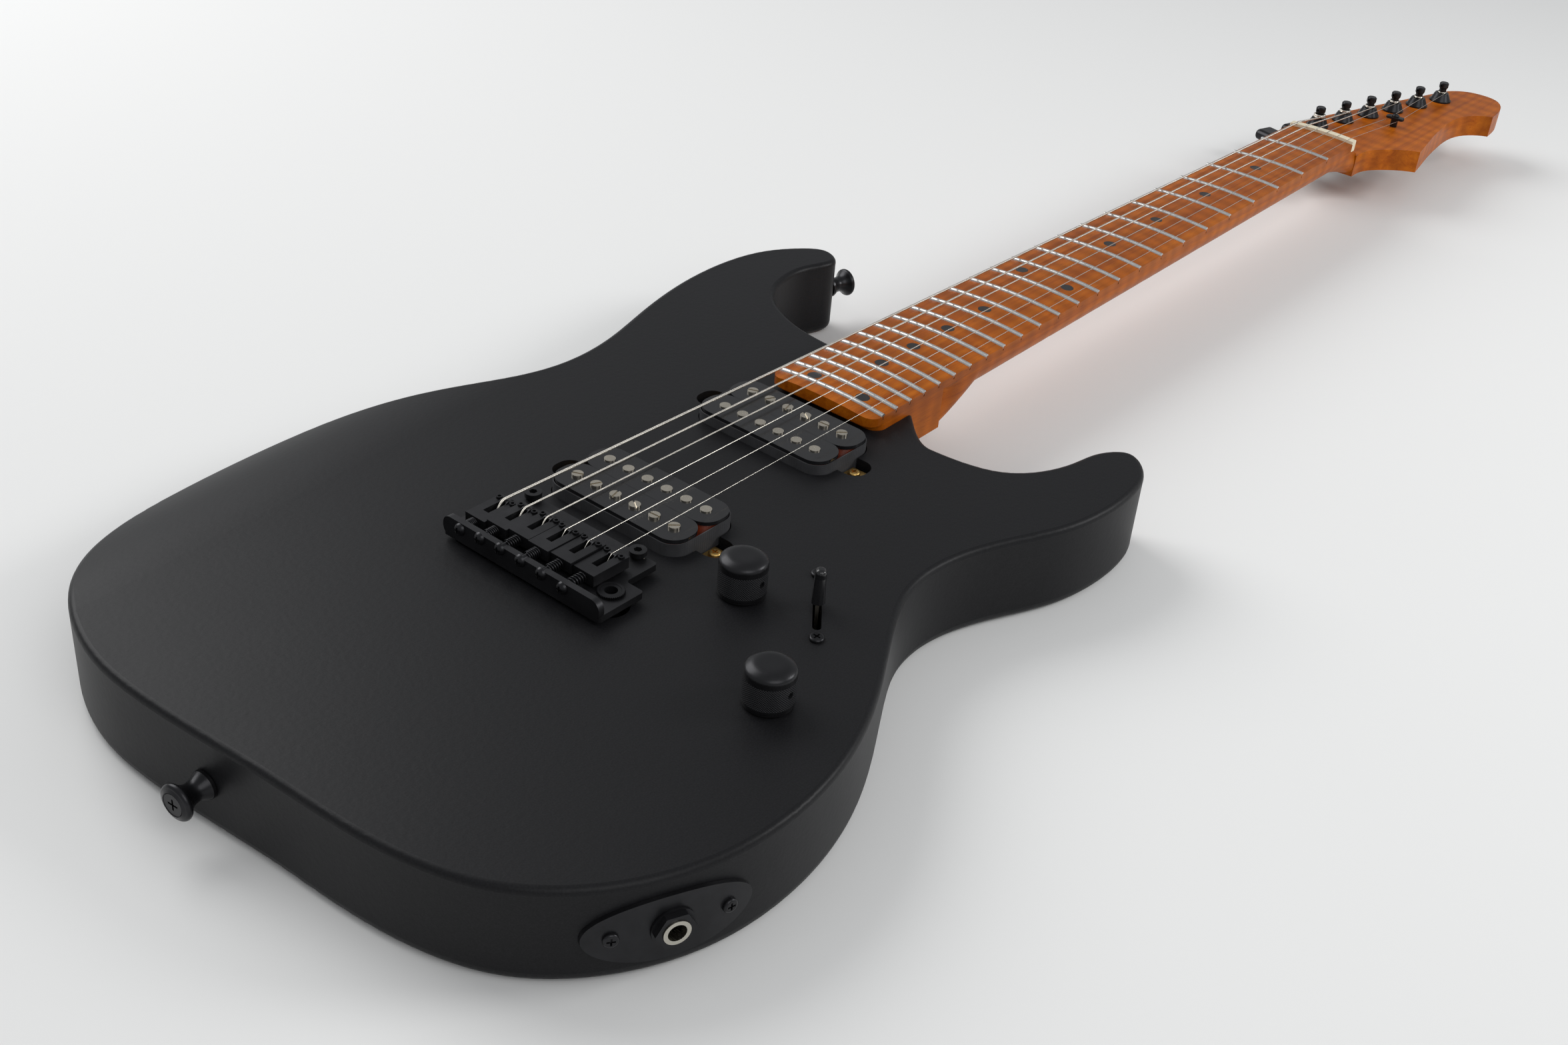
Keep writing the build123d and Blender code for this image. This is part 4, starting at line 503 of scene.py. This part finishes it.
class GUITAR_OT_bridge(bpy.types.Operator):
    """Finish the tremolo bridge and wind its saddle springs"""

    bl_idname = "guitar.bridge"
    bl_label = "Bridge"

    def execute(self, context):
        look = context.scene.guitar_look
        plate = black_plate("bridge_black", look.hardware, 0.4)
        finish_node(["bridge_plate", "saddles", "bridge_studs", "arm_socket"], plate)
        finish_node(["saddle_screws"], black_plate("screw_black", look.hardware, 0.26))
        finish_node(["bridge_block"], steel("block_steel", (0.32, 0.32, 0.33), 0.5, (60, 60, 900)))
        finish_node(["stud_inserts", "spring_claw", "claw_screws"], steel("plain_nickel", look.nickel, 0.32))
        self.wind_saddle_springs(look)
        self.make_socket_ring(look)
        return {"FINISHED"}

    def wind_saddle_springs(self, look):
        """One small coil on each intonation screw, between the wall and its saddle."""
        lows, highs = self.spring_ends()
        work = bmesh.new()
        for low, high in zip(lows, highs):
            middle = (low + high) / 2
            radius = (high.z - low.z) / 2 - look.coil_wire / 2
            start = Vector((low.x + look.coil_wire / 2, middle.y, middle.z))
            add_coil(work, start, high.x - low.x - look.coil_wire, radius, look.coil_wire, look.coil_turns)
        metal = black_plate("spring_black", look.hardware, 0.3)
        coils = finish_piece(work, "saddle_spring_coils", "bridge", metal)
        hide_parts("saddle_springs")

    def spring_ends(self):
        """Corners of each spring's box, from the node's loose parts."""
        spots = sorted((v.co.copy() for v in NODES["saddle_springs"].data.vertices), key=lambda p: p.y)
        groups = [[spots[0]]]
        for spot in spots[1:]:
            if spot.y - groups[-1][-1].y > SPRING_APART:
                groups.append([])
            groups[-1].append(spot)
        if len(groups) != STRINGS:
            raise RuntimeError(f"found {len(groups)} saddle springs")
        lows = [Vector(min(p[axis] for p in group) for axis in range(3)) for group in groups]
        highs = [Vector(max(p[axis] for p in group) for axis in range(3)) for group in groups]
        return lows, highs

    def make_socket_ring(self, look):
        """Serrated ring round the top of the arm socket."""
        socket_stands = 0.001
        clearance = 0.00005
        ring_width = 0.0014
        ring_height = 0.0011
        tooth_depth = 0.0005
        teeth = 40
        low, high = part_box("arm_socket")
        centre = Vector(((low.x + high.x) / 2, (low.y + high.y) / 2, high.z - socket_stands))
        inner = (high.x - low.x) / 2 + clearance
        outside = inner + ring_width
        work = bmesh.new()
        outer = bmesh.ops.create_circle(work, segments=2 * teeth, radius=outside)["verts"]
        for vert in outer[::2]:
            vert.co *= (outside - tooth_depth) / outside
        hole = bmesh.ops.create_circle(work, segments=2 * teeth, radius=inner)["verts"]
        edges = list({edge for vert in outer + hole for edge in vert.link_edges})
        ring = bmesh.ops.bridge_loops(work, edges=edges)["faces"]
        raised = bmesh.ops.extrude_face_region(work, geom=ring)
        top = [item for item in raised["geom"] if isinstance(item, bmesh.types.BMVert)]
        bmesh.ops.translate(work, verts=top, vec=(0, 0, ring_height))
        bmesh.ops.translate(work, verts=work.verts, vec=centre)
        metal = black_plate("ring_black", look.hardware, 0.3)
        finish_piece(work, "arm_socket_ring", "bridge", metal, smooth=False)


class GUITAR_OT_controls(bpy.types.Operator):
    """Finish the knobs, the switch, the jack and the strap buttons"""

    bl_idname = "guitar.controls"
    bl_label = "Controls"

    def execute(self, context):
        look = context.scene.guitar_look
        for name in ("volume", "tone"):
            low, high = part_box(f"{name}_knob")
            finish_node([f"{name}_knob"], knurled(look, low, high))
            self.add_set_screw(look, name, low, high)
        nickel = steel("control_nickel", look.nickel, 0.3)
        finish_node(["switch_frame", "switch_lever", "potentiometers", "volume_shaft", "tone_shaft"], nickel)
        finish_node(["switch_tip"], plastic("switch_black", look.bobbin, 0.2))
        finish_node(["jack_socket"], steel("jack_nickel", (0.66, 0.63, 0.55), 0.2))
        dark = black_plate("panel_black", look.hardware, 0.3)
        finish_node(["jack_plate", "panel_nuts", "panel_screws", "strap_buttons", "strap_screws"], dark)
        cover = plastic("cover_black", (0.018, 0.018, 0.019), 0.5, 1200, 0.12)
        finish_node(["control_cover", "spring_cover"], cover)
        finish_node(["cover_screws"], dark)
        return {"FINISHED"}

    def add_set_screw(self, look, name, low, high):
        """Socket screw in the side of a knob."""
        screw_radius = 0.00125
        screw_height = 0.0004
        inset = 0.0011
        rise = 0.0075
        spot = Vector(((low.x + high.x) / 2, low.y + inset, low.z + rise))
        place = Matrix.Translation(spot) @ Matrix.Rotation(pi / 2, 4, "X")
        work = bmesh.new()
        add_disc(work, place, screw_radius, screw_height, 24)
        metal = black_plate(f"{name}_set_screw_black", look.hardware, 0.25)
        finish_piece(work, f"{name}_set_screw", f"{name}_control", metal)


class GUITAR_OT_tuners(bpy.types.Operator):
    """Finish the tuners and the string tree"""

    bl_idname = "guitar.tuners"
    bl_label = "Tuners"

    def execute(self, context):
        look = context.scene.guitar_look
        cast = black_plate("tuner_black", look.hardware, 0.28)
        numbers = range(1, STRINGS + 1)
        turning = [f"tuner_{part}_{number}" for part in ("post", "button") for number in numbers]
        finish_node(turning + ["tuner_housings", "tuner_bushings", "string_tree"], cast)
        finish_node(["neck_ferrules", "neck_screws"], black_plate("bolt_black", look.hardware, 0.36))
        finish_node(["truss_rod"], steel("rod_steel", (0.4, 0.4, 0.4), 0.5))
        return {"FINISHED"}


class GUITAR_OT_strings(bpy.types.Operator):
    """Finish the strings"""

    bl_idname = "guitar.strings"
    bl_label = "Strings"

    def execute(self, context):
        finish_node(["strings"], wound_steel(context.scene.guitar_look))
        return {"FINISHED"}


class GUITAR_OT_back_springs(bpy.types.Operator):
    """Wind the tremolo springs in the back"""

    bl_idname = "guitar.back_springs"
    bl_label = "Back springs"

    wire: distance("Wire", "Wire of a spring", 0.0011)
    count: IntProperty(name="Springs", description="Number of springs", default=3, min=1)
    spacing: distance("Spacing", "Between springs", 0.015)
    coil_radius: distance("Radius", "Outside of a coil", 0.0036)
    front_hook: distance("Front hook", "Straight front end", 0.0045)
    rear_hook: distance("Rear hook", "Straight rear end", 0.013)
    pitch: FloatProperty(name="Pitch", description="From turn to turn, in wires", default=1.35)

    def execute(self, context):
        look = context.scene.guitar_look
        low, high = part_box("tremolo_springs")
        radius = self.coil_radius - self.wire / 2
        coil_start = low.x + self.rear_hook
        coil_end = high.x - self.front_hook
        level = high.z - self.coil_radius
        first = -(self.count - 1) / 2 * self.spacing
        turns = (coil_end - coil_start) / (self.wire * self.pitch)
        work = bmesh.new()
        start = Vector((coil_start, first, level))
        add_coil(work, start, coil_end - coil_start, radius, self.wire, turns, 8, 16)
        self.add_rod(work, low.x, coil_start, first, level)
        self.add_rod(work, coil_end, high.x, first, level)
        spring = work.verts[:] + work.edges[:] + work.faces[:]
        for number in range(1, self.count):
            copied = bmesh.ops.duplicate(work, geom=spring)["geom"]
            verts = [item for item in copied if isinstance(item, bmesh.types.BMVert)]
            bmesh.ops.translate(work, verts=verts, vec=(0, number * self.spacing, 0))
        springs = finish_piece(
            work, "tremolo_spring_coils", "guitar", steel("spring_steel", look.frets, 0.3)
        )
        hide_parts("tremolo_springs")
        return {"FINISHED"}

    def add_rod(self, work, start, end, across, level):
        """Straight end of a spring, along +X."""
        turn = Matrix.Translation((start, across, level)) @ Matrix.Rotation(pi / 2, 4, "Y")
        add_disc(work, turn, self.wire / 2, end - start, 10)


class GUITAR_OT_stage(bpy.types.Operator):
    """Set the floor, the soft lights and the camera"""

    bl_idname = "guitar.stage"
    bl_label = "Stage"

    def execute(self, context):
        stage = context.scene.guitar_stage
        self.make_floor(stage)
        self.make_world(context)
        self.make_lamp("key_lamp", (0.1, 1.5, 1.25), (0.25, 0, 0), 1.5, stage.key_power)
        self.make_lamp("fill_lamp", (-0.5, -1.3, 1.3), (0.2, 0, 0), 1.4, stage.fill_power)
        self.make_lamp("rim_lamp", (1.0, -1.0, 0.75), (0, -0.1, 0), 0.5, stage.rim_power)
        self.make_camera(context, stage)
        context.scene.view_settings.view_transform = "Standard"
        return {"FINISHED"}

    def make_floor(self, stage):
        work = bmesh.new()
        bmesh.ops.create_grid(work, x_segments=1, y_segments=1, size=stage.floor_size / 2)
        low = CAD_BOUNDS[0].z - FLOOR_GAP
        bmesh.ops.translate(work, verts=work.verts, vec=(0, 0, low))
        mesh = bpy.data.meshes.new("floor")
        work.to_mesh(mesh)
        work.free()
        made = Finish("floor_paper", stage.floor, 0.85)
        speckle = made.noise(made.place(), 160, 3, 0.6)
        made.set("Roughness", made.spread(speckle, 0.8, 0.9))
        mesh.materials.append(made.material)
        floor = bpy.data.objects.new("floor", mesh)
        bpy.context.scene.collection.objects.link(floor)

    def make_world(self, context):
        world = bpy.data.worlds.new("studio")
        world.use_nodes = True
        sky = world.node_tree.nodes["Background"]
        sky.inputs["Color"].default_value = (0.95, 0.97, 1.0, 1)
        sky.inputs["Strength"].default_value = 0.4
        context.scene.world = world

    def make_lamp(self, name, at, toward, size, power):
        lamp = bpy.data.lights.new(name, "AREA")
        lamp.shape = "DISK"
        lamp.size = size
        lamp.energy = power
        thing = bpy.data.objects.new(name, lamp)
        thing.location = at
        way = Vector(toward) - Vector(at)
        thing.rotation_euler = way.to_track_quat("-Z", "Y").to_euler()
        bpy.context.scene.collection.objects.link(thing)

    def make_camera(self, context, stage):
        up = CAMERA_RIGHT.cross(CAMERA_AHEAD)
        lens = bpy.data.cameras.new("camera")
        lens.sensor_width = SENSOR_WIDTH
        lens.lens = stage.lens
        lens.clip_start = 0.01
        lens.clip_end = 50
        camera = bpy.data.objects.new("camera", lens)
        turn = Matrix((CAMERA_RIGHT, up, -CAMERA_AHEAD)).transposed().to_4x4()
        camera.matrix_world = Matrix.Translation(CAMERA_PLACE) @ turn
        context.scene.collection.objects.link(camera)
        context.scene.camera = camera


class GUITAR_PT_panel(bpy.types.Panel):
    """Lists the guitar's operators"""

    bl_idname = "GUITAR_PT_panel"
    bl_label = "Guitar"
    bl_space_type = "VIEW_3D"
    bl_region_type = "UI"
    bl_category = "Guitar"

    def draw(self, context):
        for operator in OPERATORS:
            self.layout.operator(operator.bl_idname)
        for group in (context.scene.guitar_look, context.scene.guitar_stage):
            for name in group.__annotations__:
                self.layout.prop(group, name)


OPERATORS = (
    GUITAR_OT_woodwork,
    GUITAR_OT_pickups,
    GUITAR_OT_bridge,
    GUITAR_OT_controls,
    GUITAR_OT_tuners,
    GUITAR_OT_strings,
    GUITAR_OT_back_springs,
    GUITAR_OT_stage,
)
CLASSES = (GuitarLook, GuitarStage, *OPERATORS, GUITAR_PT_panel)


def register():
    for item in CLASSES:
        bpy.utils.register_class(item)
    bpy.types.Scene.guitar_look = PointerProperty(type=GuitarLook)
    bpy.types.Scene.guitar_stage = PointerProperty(type=GuitarStage)


def unregister():
    del bpy.types.Scene.guitar_stage
    del bpy.types.Scene.guitar_look
    for item in reversed(CLASSES):
        bpy.utils.unregister_class(item)


def main():
    register()
    bpy.ops.guitar.woodwork()
    bpy.ops.guitar.pickups()
    bpy.ops.guitar.bridge()
    bpy.ops.guitar.controls()
    bpy.ops.guitar.tuners()
    bpy.ops.guitar.strings()
    bpy.ops.guitar.back_springs()
    bpy.ops.guitar.stage()


if __name__ == "__main__":
    main()
